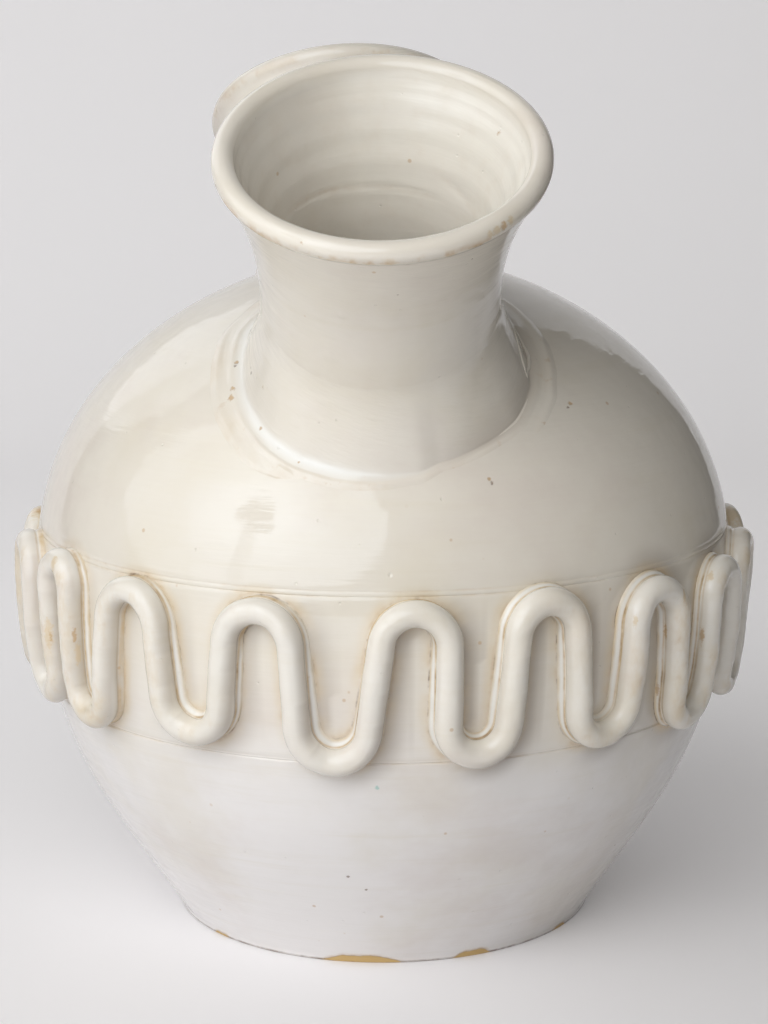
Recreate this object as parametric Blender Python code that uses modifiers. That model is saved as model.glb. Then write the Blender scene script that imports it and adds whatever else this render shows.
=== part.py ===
"""Two-spout vase in tin-glazed earthenware.

A thrown bowl and a thrown dome meet at the upper of two incised guide lines. Two
thrown necks are luted over holes cut in the dome and lean away from each other, and a
clay rope is laid in waves round the widest part, between the guide lines.

Metres, +Z up. The origin is on the table under the middle of the foot, and the front
spout leans towards -Y.
"""

import math

import bmesh
import bpy
from mathutils import Matrix, Vector
from mathutils.geometry import interpolate_bezier

# Belly
BELLY_RADIUS = 0.115
BELLY_LEVEL = 0.120
DOME_HEIGHT = 0.2185
BELLY_WALL = 0.0065
FLOOR_THICKNESS = 0.0085
FLOOR_CORNER = 0.009
DOME_SIDE_FULLNESS = 0.60
DOME_TOP_FULLNESS = 0.48
LOWER_SIDE_FULLNESS = 0.53

# Foot
FOOT_RADIUS = 0.069
FOOT_LEAN = math.radians(31)
FOOT_FULLNESS = 0.35
FOOT_CHAMFER = 0.0015
FOOT_RING_WIDTH = 0.012
FOOT_RECESS = 0.0022
FOOT_RECESS_SLOPE = 0.004

# Incised guide lines
LOWER_LINE_HEIGHT = 0.0791
UPPER_LINE_HEIGHT = 0.1309
LINE_WIDTH = 0.0014
LINE_DEPTH = 0.0005

# Spouts
SPOUT_SEAT_REACH = 0.069
SPOUT_RADIUS = 0.0361
SPOUT_WALL = 0.0060
SPOUT_STEM = 0.023
MOUTH_RADIUS = 0.0458
LIP_THICKNESS = 0.0068
LIP_UNDERCUT = 0.0009
LIP_TOP = 90
LIP_TUCK = -50
LIP_INNER_SHOULDER = 140
LIP_INNER_EDGE = 190
FLARE_FULLNESS = 0.45
SPOUTS = {
    "front_spout": {"bearing": -90.3, "tilt": 30.6, "length": 0.0701},
    "rear_spout": {"bearing": 96.6, "tilt": 33.5, "length": 0.0687},
}

# Clay pressed into the corner round each spout
FILLET_REACH = 0.0080
FILLET_RISE = 0.0130
FILLET_EDGE = 0.0007
FILLET_HOLLOW = 0.55

# Rope laid in waves
ROPE_DIAMETER = 0.0088
ROPE_STAND = 0.0036
WAVE_COUNT = 18
ROPE_LENGTHS = 6
FIRST_CREST_BEARING = -85.0
TURN_SHARE = 0.46
# How far the hand strayed at each crest and the trough after it, from the front
# towards +X: sideways as a share of one wave, and upwards in metres.
CREST_DRIFT = (
    (-0.02, 0.0001), (-0.03, 0.0011), (-0.01, -0.0009), (-0.04, -0.0020), (-0.25, 0.0),
    (-0.35, 0.0005), (-0.32, 0.0), (-0.30, -0.0010), (-0.26, 0.0008), (-0.24, 0.0),
    (-0.22, -0.0008), (-0.21, 0.0004), (-0.20, 0.0010), (-0.20, 0.0), (-0.08, 0.0018),
    (-0.16, 0.0030), (-0.26, 0.0009), (-0.17, -0.0003),
)
TROUGH_DRIFT = (
    (-0.05, -0.0004), (-0.01, 0.0003), (0.0, -0.0022), (-0.12, -0.0002), (-0.22, 0.0005),
    (-0.33, -0.0006), (-0.31, 0.0008), (-0.28, 0.0), (-0.25, -0.0010), (-0.23, 0.0006),
    (-0.22, 0.0), (-0.20, -0.0004), (-0.20, 0.0006), (-0.22, 0.0003), (-0.06, 0.0015),
    (-0.31, 0.0008), (-0.22, 0.0034), (-0.12, -0.0023),
)

# Clearance between pieces that touch
SEAM_GAP = 0.0003

# How finely the curves are divided
BELLY_STEPS = 51
SPOUT_STEPS = 36
DOME_POINTS = 10
LOWER_POINTS = 9
CORNER_POINTS = 3
FLARE_POINTS = 5
LIP_POINTS = 6
FILLET_POINTS = 4
TURN_PIECES = 6
HALF_LEG_PIECES = 2
ROPE_BEVEL_RESOLUTION = 2
FINE_POINTS = 600
SHARP_ANGLE = math.radians(40)
MERGE = 0.00001


def clear_scene():
    for old in list(bpy.data.objects):
        bpy.data.objects.remove(old, do_unlink=True)


def new_collection(name):
    collection = bpy.data.collections.new(name)
    bpy.context.scene.collection.children.link(collection)
    return collection


def glaze(name, colour, roughness):
    material = bpy.data.materials.new(name)
    material.use_nodes = True
    shader = material.node_tree.nodes["Principled BSDF"]
    shader.inputs["Base Color"].default_value = (*colour, 1.0)
    shader.inputs["Roughness"].default_value = roughness
    shader.inputs["Metallic"].default_value = 0.0
    material.diffuse_color = (*colour, 1.0)
    return material


def add_object(name, mesh, collection):
    piece = bpy.data.objects.new(name, mesh)
    collection.objects.link(piece)
    return piece


def turn_profile(name, profile, steps, collection, closed=False):
    """A lathe form: profile is (radius, height), down the outer side first."""
    edges = [(i, i + 1) for i in range(len(profile) - 1)]
    if closed:
        edges.append((len(profile) - 1, 0))
    mesh = bpy.data.meshes.new(name)
    mesh.from_pydata([(radius, 0.0, height) for radius, height in profile], edges, [])
    piece = add_object(name, mesh, collection)
    screw = piece.modifiers.new("turned", "SCREW")
    screw.steps = steps
    screw.render_steps = steps
    screw.use_merge_vertices = True
    screw.merge_threshold = MERGE
    return piece


def cut(piece, cutter):
    boolean = piece.modifiers.new("cut_" + cutter.name, "BOOLEAN")
    boolean.operation = "DIFFERENCE"
    boolean.solver = "EXACT"
    boolean.object = cutter
    cutter.hide_render = True
    cutter.display_type = "WIRE"


def finish(piece, material):
    """Apply the modifiers, give the piece its glaze and shade it smooth."""
    graph = bpy.context.evaluated_depsgraph_get()
    mesh = bpy.data.meshes.new_from_object(piece.evaluated_get(graph))
    piece.modifiers.clear()
    piece.data = mesh
    mesh.name = piece.name
    mesh.materials.clear()
    mesh.materials.append(material)
    mesh.shade_smooth()
    mesh.set_sharp_from_angle(angle=SHARP_ANGLE)


def bezier(start, start_handle, end_handle, end, count):
    knots = [Vector((x, z, 0.0)) for x, z in (start, start_handle, end_handle, end)]
    return [(p.x, p.y) for p in interpolate_bezier(*knots, count)]


def belly_curve(dome_points, lower_points):
    """The wall's outside as (radius, height), from the dome's top to the table."""
    dome_rise = DOME_HEIGHT - BELLY_LEVEL
    dome = bezier(
        (0.0, DOME_HEIGHT),
        (DOME_TOP_FULLNESS * BELLY_RADIUS, DOME_HEIGHT),
        (BELLY_RADIUS, BELLY_LEVEL + DOME_SIDE_FULLNESS * dome_rise),
        (BELLY_RADIUS, BELLY_LEVEL),
        dome_points,
    )
    foot_handle = FOOT_FULLNESS * BELLY_LEVEL
    lower = bezier(
        (BELLY_RADIUS, BELLY_LEVEL),
        (BELLY_RADIUS, BELLY_LEVEL * (1.0 - LOWER_SIDE_FULLNESS)),
        (
            FOOT_RADIUS + foot_handle * math.sin(FOOT_LEAN),
            foot_handle * math.cos(FOOT_LEAN),
        ),
        (FOOT_RADIUS, 0.0),
        lower_points,
    )
    return dome + lower[1:]


FINE_WALL = belly_curve(FINE_POINTS, FINE_POINTS)


def wall_radius(height):
    """Outside radius of the wall at a height, read from the fine curve."""
    low, high = 0, len(FINE_WALL) - 1
    while high - low > 1:
        middle = (low + high) // 2
        if FINE_WALL[middle][1] > height:
            low = middle
        else:
            high = middle
    (r0, z0), (r1, z1) = FINE_WALL[low], FINE_WALL[high]
    share = 0.0 if z0 == z1 else (height - z0) / (z1 - z0)
    return r0 + (r1 - r0) * min(max(share, 0.0), 1.0)


def dome_height(radius):
    """Height of the dome's outside at a distance from the vase's axis."""
    return next(height for at, height in FINE_WALL if at >= radius)


def wall_direction(height):
    """Unit (radial, vertical) direction that points straight out of the wall."""
    step = BELLY_WALL / 10.0
    spread = wall_radius(height + step) - wall_radius(height - step)
    return Vector((2.0 * step, -spread)).normalized()


def inner_radius(height):
    return wall_radius(height) - BELLY_WALL / wall_direction(height).x


def offset_curve(curve, distance):
    """Move a (radius, height) curve outwards, square to itself."""
    moved = []
    for index, (radius, height) in enumerate(curve):
        before = Vector(curve[max(index - 1, 0)])
        after = Vector(curve[min(index + 1, len(curve) - 1)])
        along = (after - before).normalized()
        if radius == 0.0:
            along = Vector((1.0, 0.0))
        moved.append((radius - along.y * distance, height + along.x * distance))
    return moved


def cut_guide_lines(curve):
    """Put a V-shaped line into the wall at each guide height."""
    lines = (UPPER_LINE_HEIGHT, LOWER_LINE_HEIGHT)
    kept = [
        point
        for point in curve
        if all(abs(point[1] - line) > 1.5 * LINE_WIDTH for line in lines)
    ]
    for line in lines:
        half = LINE_WIDTH / 2.0
        kept.append((wall_radius(line + half), line + half))
        kept.append((wall_radius(line) - LINE_DEPTH, line))
        kept.append((wall_radius(line - half), line - half))
    return sorted(kept, key=lambda point: -point[1])


def make_bowl(parts):
    """The belly's lower part, from its flat foot ring up to the upper guide line."""
    wall = belly_curve(DOME_POINTS, LOWER_POINTS)
    rim = UPPER_LINE_HEIGHT - SEAM_GAP / 2.0
    floor = FOOT_RECESS + FLOOR_THICKNESS
    corner_top = floor + FLOOR_CORNER
    corner = (inner_radius(floor), floor)
    corner_start = (inner_radius(corner_top), corner_top)
    corner_end = (corner[0] - FLOOR_CORNER, floor)
    inside = [(inner_radius(rim), rim)]
    inside += [
        point
        for point in offset_curve(wall, -BELLY_WALL)
        if corner_top < point[1] < rim - LINE_WIDTH
    ]
    inside += bezier(corner_start, corner, corner, corner_end, CORNER_POINTS)
    inside.append((0.0, floor))

    outside = [(wall_radius(rim) - LINE_DEPTH, rim)]
    outside += [
        point for point in cut_guide_lines(wall) if 2.0 * FOOT_CHAMFER < point[1] < rim
    ]
    foot_edge = wall_radius(FOOT_CHAMFER)
    ring_inner = FOOT_RADIUS - FOOT_RING_WIDTH
    outside += [
        (foot_edge, FOOT_CHAMFER),
        (foot_edge - FOOT_CHAMFER, 0.0),
        (ring_inner, 0.0),
        (ring_inner - FOOT_RECESS_SLOPE, FOOT_RECESS),
        (0.0, FOOT_RECESS),
    ]
    return turn_profile("vase_body", inside[::-1] + outside, BELLY_STEPS, parts)


def make_dome(parts, cutters):
    """The belly's upper part, closed over at the top, with a hole for each spout."""
    wall = belly_curve(DOME_POINTS, LOWER_POINTS)
    rim = UPPER_LINE_HEIGHT + SEAM_GAP / 2.0
    outside = [point for point in cut_guide_lines(wall) if point[1] > rim]
    outside.append((wall_radius(rim) - LINE_DEPTH, rim))
    inside = [
        point for point in offset_curve(wall, -BELLY_WALL) if point[1] > rim + LINE_WIDTH
    ]
    inside.append((inner_radius(rim), rim))
    dome = turn_profile("vase_dome", outside + inside[::-1], BELLY_STEPS, parts)

    for name in SPOUTS:
        bpy.ops.mesh.primitive_cylinder_add(
            vertices=SPOUT_STEPS, radius=SPOUT_RADIUS - SPOUT_WALL, depth=2.0 * SPOUT_RADIUS
        )
        drill = bpy.context.object
        drill.name = name + "_hole"
        for holder in list(drill.users_collection):
            holder.objects.unlink(drill)
        cutters.objects.link(drill)
        drill.matrix_world = spout_frame(name)
        cut(dome, drill)
    return dome


def spout_frame(name):
    """Axes of a spout: at the dome under its middle, with Z out along the spout."""
    bearing = Matrix.Rotation(math.radians(SPOUTS[name]["bearing"]), 4, "Z")
    tilt = Matrix.Rotation(math.radians(SPOUTS[name]["tilt"]), 4, "Y")
    seat = Matrix.Translation((SPOUT_SEAT_REACH, 0.0, dome_height(SPOUT_SEAT_REACH)))
    return bearing @ seat @ tilt


def spout_profile(length):
    """Closed section of a neck: round the lip, down the outside, up the bore.

    Angles on the lip's bead are in degrees, from level outwards, and 90 is its top.
    """
    lip = LIP_THICKNESS / 2.0
    bore = SPOUT_RADIUS - SPOUT_WALL
    root = (SPOUT_RADIUS, -SPOUT_RADIUS), (bore, -SPOUT_RADIUS)

    def on_lip(degrees):
        angle = math.radians(degrees)
        return MOUTH_RADIUS + lip * math.cos(angle), length + lip * math.sin(angle)

    def flare(edge, stem_radius):
        reach = FLARE_FULLNESS * (edge[1] - SPOUT_STEM)
        spread = FLARE_FULLNESS * (edge[0] - stem_radius)
        return bezier(
            edge,
            (edge[0] - spread, edge[1] - reach / 2.0),
            (stem_radius, SPOUT_STEM + reach),
            (stem_radius, SPOUT_STEM),
            FLARE_POINTS,
        )

    lip_step = (LIP_TUCK - LIP_TOP) / (LIP_POINTS - 1)
    outer_lip = [on_lip(LIP_TOP + lip_step * index) for index in range(LIP_POINTS)]
    tuck = (outer_lip[-1][0] - LIP_UNDERCUT, outer_lip[-1][1] - LIP_UNDERCUT)
    outside = outer_lip + flare(tuck, SPOUT_RADIUS)
    bore_up = flare(on_lip(LIP_INNER_EDGE), bore)[::-1]
    return outside + list(root) + bore_up + [on_lip(LIP_INNER_SHOULDER)]


def make_spout(name, parts, seat_cutter):
    """A neck turned on its own axis, with its root cut to the dome it stands on."""
    profile = spout_profile(SPOUTS[name]["length"])
    neck = turn_profile(name, profile, SPOUT_STEPS, parts, closed=True)
    neck.matrix_world = spout_frame(name)
    cut(neck, seat_cutter)
    return neck


def height_over_dome(frame, bearing, radius):
    """Distance along a spout, beside its axis, from its seat's level to the dome."""
    side = Vector((radius * math.cos(bearing), radius * math.sin(bearing), 0.0))
    low, high = -2.0 * SPOUT_RADIUS, 2.0 * SPOUT_RADIUS
    while high - low > MERGE:
        middle = (low + high) / 2.0
        point = frame @ (side + Vector((0.0, 0.0, middle)))
        if point.z < DOME_HEIGHT and point.xy.length < wall_radius(point.z):
            low = middle
        else:
            high = middle
    slope = (point.xy.normalized() * wall_direction(point.z).x).to_3d()
    slope.z = wall_direction(point.z).y
    return high + SEAM_GAP / slope.dot(frame.col[2].xyz)


def fillet_section(frame, bearing):
    """The fillet's section on one bearing, as (radius, distance along the spout)."""
    inner = SPOUT_RADIUS + SEAM_GAP
    outer = inner + FILLET_REACH
    middle = (inner + outer) / 2.0
    inner_foot = height_over_dome(frame, bearing, inner)
    outer_foot = height_over_dome(frame, bearing, outer)
    top = inner_foot + FILLET_RISE
    edge = outer_foot + FILLET_EDGE
    hollow = bezier(
        (inner + FILLET_EDGE, top),
        (inner + FILLET_EDGE, top - FILLET_HOLLOW * FILLET_RISE),
        (outer - FILLET_HOLLOW * FILLET_REACH, edge + FILLET_HOLLOW * (inner_foot - outer_foot)),
        (outer, edge),
        FILLET_POINTS,
    )
    foot = [(outer, outer_foot), (middle, height_over_dome(frame, bearing, middle))]
    return [(inner, inner_foot), (inner, top)] + hollow + foot


def make_fillet(name, parts):
    """Clay worked into a spout's corner: a ring lofted through its sections."""
    frame = spout_frame(name)
    shape = bmesh.new()
    rings = []
    for step in range(SPOUT_STEPS):
        bearing = 2.0 * math.pi * step / SPOUT_STEPS
        across = Vector((math.cos(bearing), math.sin(bearing), 0.0))
        section = fillet_section(frame, bearing)
        rings.append(
            [shape.verts.new(across * radius + Vector((0, 0, along))) for radius, along in section]
        )
    for step, ring in enumerate(rings):
        following = rings[(step + 1) % SPOUT_STEPS]
        for side in range(len(ring)):
            beside = (side + 1) % len(ring)
            shape.faces.new((ring[side], following[side], following[beside], ring[beside]))
    bmesh.ops.recalc_face_normals(shape, faces=shape.faces)
    mesh = bpy.data.meshes.new(name + "_fillet")
    shape.to_mesh(mesh)
    shape.free()
    fillet = add_object(name + "_fillet", mesh, parts)
    fillet.matrix_world = frame
    return fillet


def unrolled_wave():
    """Length of one wave along the rope's own line round the pot."""
    return 2.0 * math.pi * (BELLY_RADIUS + ROPE_STAND) / WAVE_COUNT


def turning_points():
    """Crests and troughs in order round the pot, unrolled: (along, up, side)."""
    wave = unrolled_wave()
    start = wave * WAVE_COUNT * FIRST_CREST_BEARING / 360.0
    crest_height = UPPER_LINE_HEIGHT - ROPE_DIAMETER / 2.0
    trough_height = LOWER_LINE_HEIGHT + ROPE_DIAMETER / 2.0
    points = []
    for index in range(WAVE_COUNT):
        sideways, up = CREST_DRIFT[index % len(CREST_DRIFT)]
        points.append((start + (index + sideways) * wave, crest_height + up, 1))
        sideways, up = TROUGH_DRIFT[index % len(TROUGH_DRIFT)]
        points.append((start + (index + 0.5 + sideways) * wave, trough_height + up, -1))
    return points


def rope_turns():
    """Each turn of the rope as an arc of points on its middle line, unrolled.

    The leg between two turns is the line that crosses over and touches both arcs,
    as a crossed belt does between two pulleys.
    """
    points = turning_points()
    around = Vector((unrolled_wave() * WAVE_COUNT, 0.0))
    count = len(points)

    def arc_centre(index):
        lap, place = divmod(index, count)
        along, up, side = points[place]
        before = points[place - 1][0] - (around.x if place == 0 else 0.0)
        after = points[(place + 1) % count][0] + (around.x if place == count - 1 else 0.0)
        radius = TURN_SHARE * (after - before) / 2.0
        return Vector((along, up - side * radius)) + around * lap, radius, side

    def heading_after(index):
        centre, radius, side = arc_centre(index)
        next_centre, next_radius, _ = arc_centre(index + 1)
        line = next_centre - centre
        swing = math.asin(min((radius + next_radius) / line.length, 1.0))
        return math.atan2(line.y, line.x) - side * swing

    turns = []
    for index in range(-1, count + 1):
        centre, radius, side = arc_centre(index)
        enter, leave = heading_after(index - 1), heading_after(index)
        arc = []
        for piece in range(TURN_PIECES + 1):
            heading = enter + (leave - enter) * piece / TURN_PIECES
            left = Vector((-math.sin(heading), math.cos(heading)))
            arc.append(centre + left * radius * side)
        turns.append(arc)
    return turns


def on_wall(unrolled, stand):
    """Wrap an unrolled point round the pot, at a distance out from the wall."""
    bearing = unrolled.x / (BELLY_RADIUS + ROPE_STAND)
    out = wall_direction(unrolled.y)
    radius = wall_radius(unrolled.y) + out.x * stand
    height = unrolled.y + out.y * stand
    return Vector((radius * math.cos(bearing), radius * math.sin(bearing), height))


def press_on_wall(mesh):
    """Flatten a length of rope where it is pressed against the wall."""
    for vertex in mesh.vertices:
        out = wall_direction(vertex.co.z)
        clearance = (vertex.co.xy.length - wall_radius(vertex.co.z)) * out.x
        if clearance < SEAM_GAP:
            outward = (vertex.co.xy.normalized() * out.x).to_3d()
            outward.z = out.y
            vertex.co += outward * (SEAM_GAP - clearance)


def lay_length(name, unrolled, parts):
    """One length of rope: a tube along the points, pressed on the wall."""
    curve = bpy.data.curves.new(name + "_line", "CURVE")
    curve.dimensions = "3D"
    curve.bevel_depth = ROPE_DIAMETER / 2.0
    curve.bevel_resolution = ROPE_BEVEL_RESOLUTION
    curve.render_resolution_u = 0
    curve.use_fill_caps = True
    spline = curve.splines.new("POLY")
    spline.points.add(len(unrolled) - 1)
    for knot, point in zip(spline.points, unrolled):
        knot.co = (*on_wall(point, ROPE_STAND), 1.0)
    line = add_object(name + "_line", curve, parts)
    graph = bpy.context.evaluated_depsgraph_get()
    mesh = bpy.data.meshes.new_from_object(line.evaluated_get(graph))
    bpy.data.objects.remove(line, do_unlink=True)

    shape = bmesh.new()
    shape.from_mesh(mesh)
    bmesh.ops.remove_doubles(shape, verts=shape.verts, dist=MERGE)
    shape.to_mesh(mesh)
    shape.free()
    press_on_wall(mesh)
    return add_object(name, mesh, parts)


def make_ropes(parts):
    """The waves in several lengths of rope, butted half way along a leg."""
    turns = rope_turns()
    spans = []
    for before, arc, after in zip(turns, turns[1:], turns[2:]):
        start = before[-1].lerp(arc[0], 0.5)
        end = arc[-1].lerp(after[0], 0.5)
        shares = [step / HALF_LEG_PIECES for step in range(HALF_LEG_PIECES)]
        lead_in = [start.lerp(arc[0], share) for share in shares]
        lead_out = [end.lerp(arc[-1], share) for share in reversed(shares)]
        spans.append(lead_in + arc + lead_out)

    ropes = []
    for number in range(ROPE_LENGTHS):
        first = 2 * round(number * WAVE_COUNT / ROPE_LENGTHS)
        last = 2 * round((number + 1) * WAVE_COUNT / ROPE_LENGTHS)
        line = list(spans[first])
        for span in spans[first + 1:last]:
            line += span[1:]
        for end, beside in ((0, 1), (-1, -2)):
            line[end] = line[end] + (line[beside] - line[end]).normalized() * SEAM_GAP / 2.0
        ropes.append(lay_length("wave_rope_%d" % (number + 1), line, parts))
    return ropes


def main():
    clear_scene()
    parts = new_collection("two_spout_vase")
    cutters = new_collection("cutters")

    belly = [make_bowl(parts), make_dome(parts, cutters)]
    seat = offset_curve(belly_curve(DOME_POINTS, LOWER_POINTS), SEAM_GAP)
    seat.append((0.0, seat[-1][1]))
    seat_cutter = turn_profile("spout_seat", seat, BELLY_STEPS, cutters)
    spouts = [make_spout(name, parts, seat_cutter) for name in SPOUTS]
    fillets = [make_fillet(name, parts) for name in SPOUTS]
    ropes = make_ropes(parts)

    bpy.context.view_layer.update()
    for pieces, material in (
        (belly, glaze("body_glaze", (0.80, 0.77, 0.72), 0.16)),
        (spouts, glaze("spout_glaze", (0.82, 0.80, 0.76), 0.16)),
        (fillets, glaze("fillet_glaze", (0.78, 0.75, 0.69), 0.20)),
        (ropes, glaze("rope_glaze", (0.86, 0.84, 0.78), 0.14)),
    ):
        for piece in pieces:
            finish(piece, material)


main()
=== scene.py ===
"""Two-spout vase in milky tin-glazed earthenware, dressed for its picture.

The file follows the pot as the potter puts it together: the thrown belly, the two
necks, the clay worked in round their roots, and the rope laid in waves. The table,
the lights and the camera come last. Metres, +Z up, front spout towards -Y.
"""

import math

import bpy
import numpy as np
from mathutils import Matrix, Vector, kdtree, noise
from mathutils.bvhtree import BVHTree
from mathutils.geometry import interpolate_bezier


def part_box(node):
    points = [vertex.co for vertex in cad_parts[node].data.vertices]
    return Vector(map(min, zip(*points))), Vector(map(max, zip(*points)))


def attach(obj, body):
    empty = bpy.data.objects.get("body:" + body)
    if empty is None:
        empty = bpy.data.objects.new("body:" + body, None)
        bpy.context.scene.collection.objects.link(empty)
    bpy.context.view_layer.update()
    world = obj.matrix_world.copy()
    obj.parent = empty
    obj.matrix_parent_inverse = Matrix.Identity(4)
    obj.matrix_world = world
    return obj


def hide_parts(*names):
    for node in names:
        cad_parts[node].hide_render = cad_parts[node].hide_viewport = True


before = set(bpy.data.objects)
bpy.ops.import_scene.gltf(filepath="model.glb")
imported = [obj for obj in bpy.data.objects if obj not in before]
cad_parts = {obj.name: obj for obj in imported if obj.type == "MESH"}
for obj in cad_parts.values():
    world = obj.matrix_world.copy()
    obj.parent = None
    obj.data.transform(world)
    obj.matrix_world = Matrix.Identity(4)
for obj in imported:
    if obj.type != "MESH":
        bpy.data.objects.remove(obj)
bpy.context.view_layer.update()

# Belly
# The pot's body: a bowl and a dome thrown on the wheel and joined at the upper guide
# line, so that no seam is left to see. The foot is turned and the two guide lines are
# cut while it spins. Dipped in white tin glaze, and wiped off the foot in places.
bowl_low, bowl_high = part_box("vase_body")
BELLY_RADIUS = (bowl_high.x - bowl_low.x) / 2.0
DOME_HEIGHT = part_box("vase_dome")[1].z
BELLY_LEVEL = 0.120
BELLY_WALL = 0.0065
FLOOR_LEVEL = 0.0107
FLOOR_CORNER = 0.009
FOOT_RADIUS = 0.069
FOOT_LEAN = math.radians(31)
FOOT_EDGE = 0.0016
FOOT_RING_WIDTH = 0.012
FOOT_RECESS = 0.0022
# Height and depth of each line cut round the belly, the upper pair first.
GUIDE_LINES = ((0.1309, 0.00024), (0.1325, 0.00016), (0.0791, 0.00028), (0.0799, 0.0001))
GUIDE_LINE_WIDTH = 0.0010
# The cut's section: half widths off its middle, and the share of the depth there.
GUIDE_LINE_CUT = ((-1.0, 0.0), (-0.45, 0.55), (0.0, 1.0), (0.45, 0.55), (1.0, 0.0))
BELT_MIDDLE = 0.105
THROWING_WAVER = 0.00022
BELLY_STEPS = 300
HOLE_STEPS = 96
HOLE_REACH = 0.03
# Points of the wall's outline above and below the widest part, for each use of it.
FINE_POINTS = (500, 500)
OUTSIDE_POINTS = (110, 90)
INSIDE_POINTS = (40, 30)
FOOT_EDGE_POINTS = 6
CORNER_POINTS = 8
# How far the handles of the two curves reach: they make the wall fuller or leaner.
DOME_TOP_HANDLE = 0.48
DOME_SIDE_HANDLE = 0.60
LOWER_SIDE_HANDLE = 0.47
FOOT_HANDLE = 0.35


def curve_points(start, start_handle, end_handle, end, count):
    knots = [Vector((x, z, 0.0)) for x, z in (start, start_handle, end_handle, end)]
    return [(p.x, p.y) for p in interpolate_bezier(*knots, count)]


def belly_curve(dome_points, lower_points):
    """The wall's outside as (radius, height), from the dome's top to the table."""
    rise = DOME_HEIGHT - BELLY_LEVEL
    handle = FOOT_HANDLE * BELLY_LEVEL
    foot_handle = (FOOT_RADIUS + handle * math.sin(FOOT_LEAN), handle * math.cos(FOOT_LEAN))
    dome = curve_points(
        (0.0, DOME_HEIGHT),
        (DOME_TOP_HANDLE * BELLY_RADIUS, DOME_HEIGHT),
        (BELLY_RADIUS, BELLY_LEVEL + DOME_SIDE_HANDLE * rise),
        (BELLY_RADIUS, BELLY_LEVEL),
        dome_points,
    )
    lower = curve_points(
        (BELLY_RADIUS, BELLY_LEVEL),
        (BELLY_RADIUS, LOWER_SIDE_HANDLE * BELLY_LEVEL),
        foot_handle,
        (FOOT_RADIUS, 0.0),
        lower_points,
    )
    return dome + lower[1:]


fine_wall = np.array(belly_curve(*FINE_POINTS))[::-1]


def wall_radius(height):
    return np.interp(height, fine_wall[:, 1], fine_wall[:, 0])


def wall_out(height):
    """Radial and vertical share of the direction straight out of the wall."""
    step = 0.0006
    spread = wall_radius(height + step) - wall_radius(height - step)
    length = np.hypot(2.0 * step, spread)
    return 2.0 * step / length, -spread / length


def plain_mesh(name, points, edges=(), faces=()):
    mesh = bpy.data.meshes.new(name)
    mesh.from_pydata([tuple(p) for p in points], edges, faces)
    return mesh


def turned_mesh(name, rings, wrap_rings=False):
    """A skin over rings of points; a ring of one point is a pole."""
    points, starts = [], []
    for ring in rings:
        starts.append(len(points))
        points.extend(ring)
    faces = []
    pairs = list(zip(range(len(rings) - 1), range(1, len(rings))))
    if wrap_rings:
        pairs.append((len(rings) - 1, 0))
    for upper, lower in pairs:
        count = max(len(rings[upper]), len(rings[lower]))
        for step in range(count):
            after = (step + 1) % count
            corners = []
            for ring, places in ((upper, (step, after)), (lower, (after, step))):
                for place in places:
                    corner = starts[ring] + (place if len(rings[ring]) > 1 else 0)
                    if corner not in corners:
                        corners.append(corner)
            faces.append(corners[::-1])
    return plain_mesh(name, points, faces=faces)


def at_bearing(radius, bearing, height):
    return (radius * math.cos(bearing), radius * math.sin(bearing), height)


def ring_of(radius, height, steps):
    if radius == 0.0:
        return [(0.0, 0.0, height)]
    return [at_bearing(radius, 2.0 * math.pi * step / steps, height) for step in range(steps)]


def add_object(name, data):
    added = bpy.data.objects.new(name, data)
    bpy.context.scene.collection.objects.link(added)
    return added


def flat_result(piece):
    """Swap a piece's live modifiers for the plain mesh that they make."""
    graph = bpy.context.evaluated_depsgraph_get()
    mesh = bpy.data.meshes.new_from_object(piece.evaluated_get(graph))
    piece.modifiers.clear()
    piece.data = mesh
    mesh.name = piece.name
    return mesh


def read_points(mesh):
    points = np.zeros(len(mesh.vertices) * 3)
    mesh.vertices.foreach_get("co", points)
    return points.reshape(-1, 3)


def write_points(mesh, points):
    mesh.vertices.foreach_set("co", points.ravel())
    mesh.update()


def write_attributes(mesh, **attributes):
    """Store one number or vector for each point of the mesh under each name."""
    for name, values in attributes.items():
        values = np.asarray(values, dtype=np.float32)
        kind, field = ("FLOAT_VECTOR", "vector") if values.ndim == 2 else ("FLOAT", "value")
        attribute = mesh.attributes.new(name, kind, "POINT")
        attribute.data.foreach_set(field, values.ravel())


def shade_smooth(mesh, sharp_degrees):
    mesh.shade_smooth()
    mesh.set_sharp_from_angle(angle=math.radians(sharp_degrees))


def slow_waver(points, scale, amount, seed):
    """A slow unevenness of the hand, the same at the same place of the pot."""
    offset = Vector((seed, 2.0 * seed, 3.0 * seed))
    return amount * np.array([noise.noise(Vector(p) * scale + offset) for p in points])


def noise_round(bearing, scale, level):
    """Noise from -1 to 1 that meets itself after a full turn."""
    return noise.noise(Vector(at_bearing(scale, bearing, level)))


def bell(away, width):
    """1 in the middle, falling softly to 0 on both sides."""
    return np.exp(-(away / width) ** 2)


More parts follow.
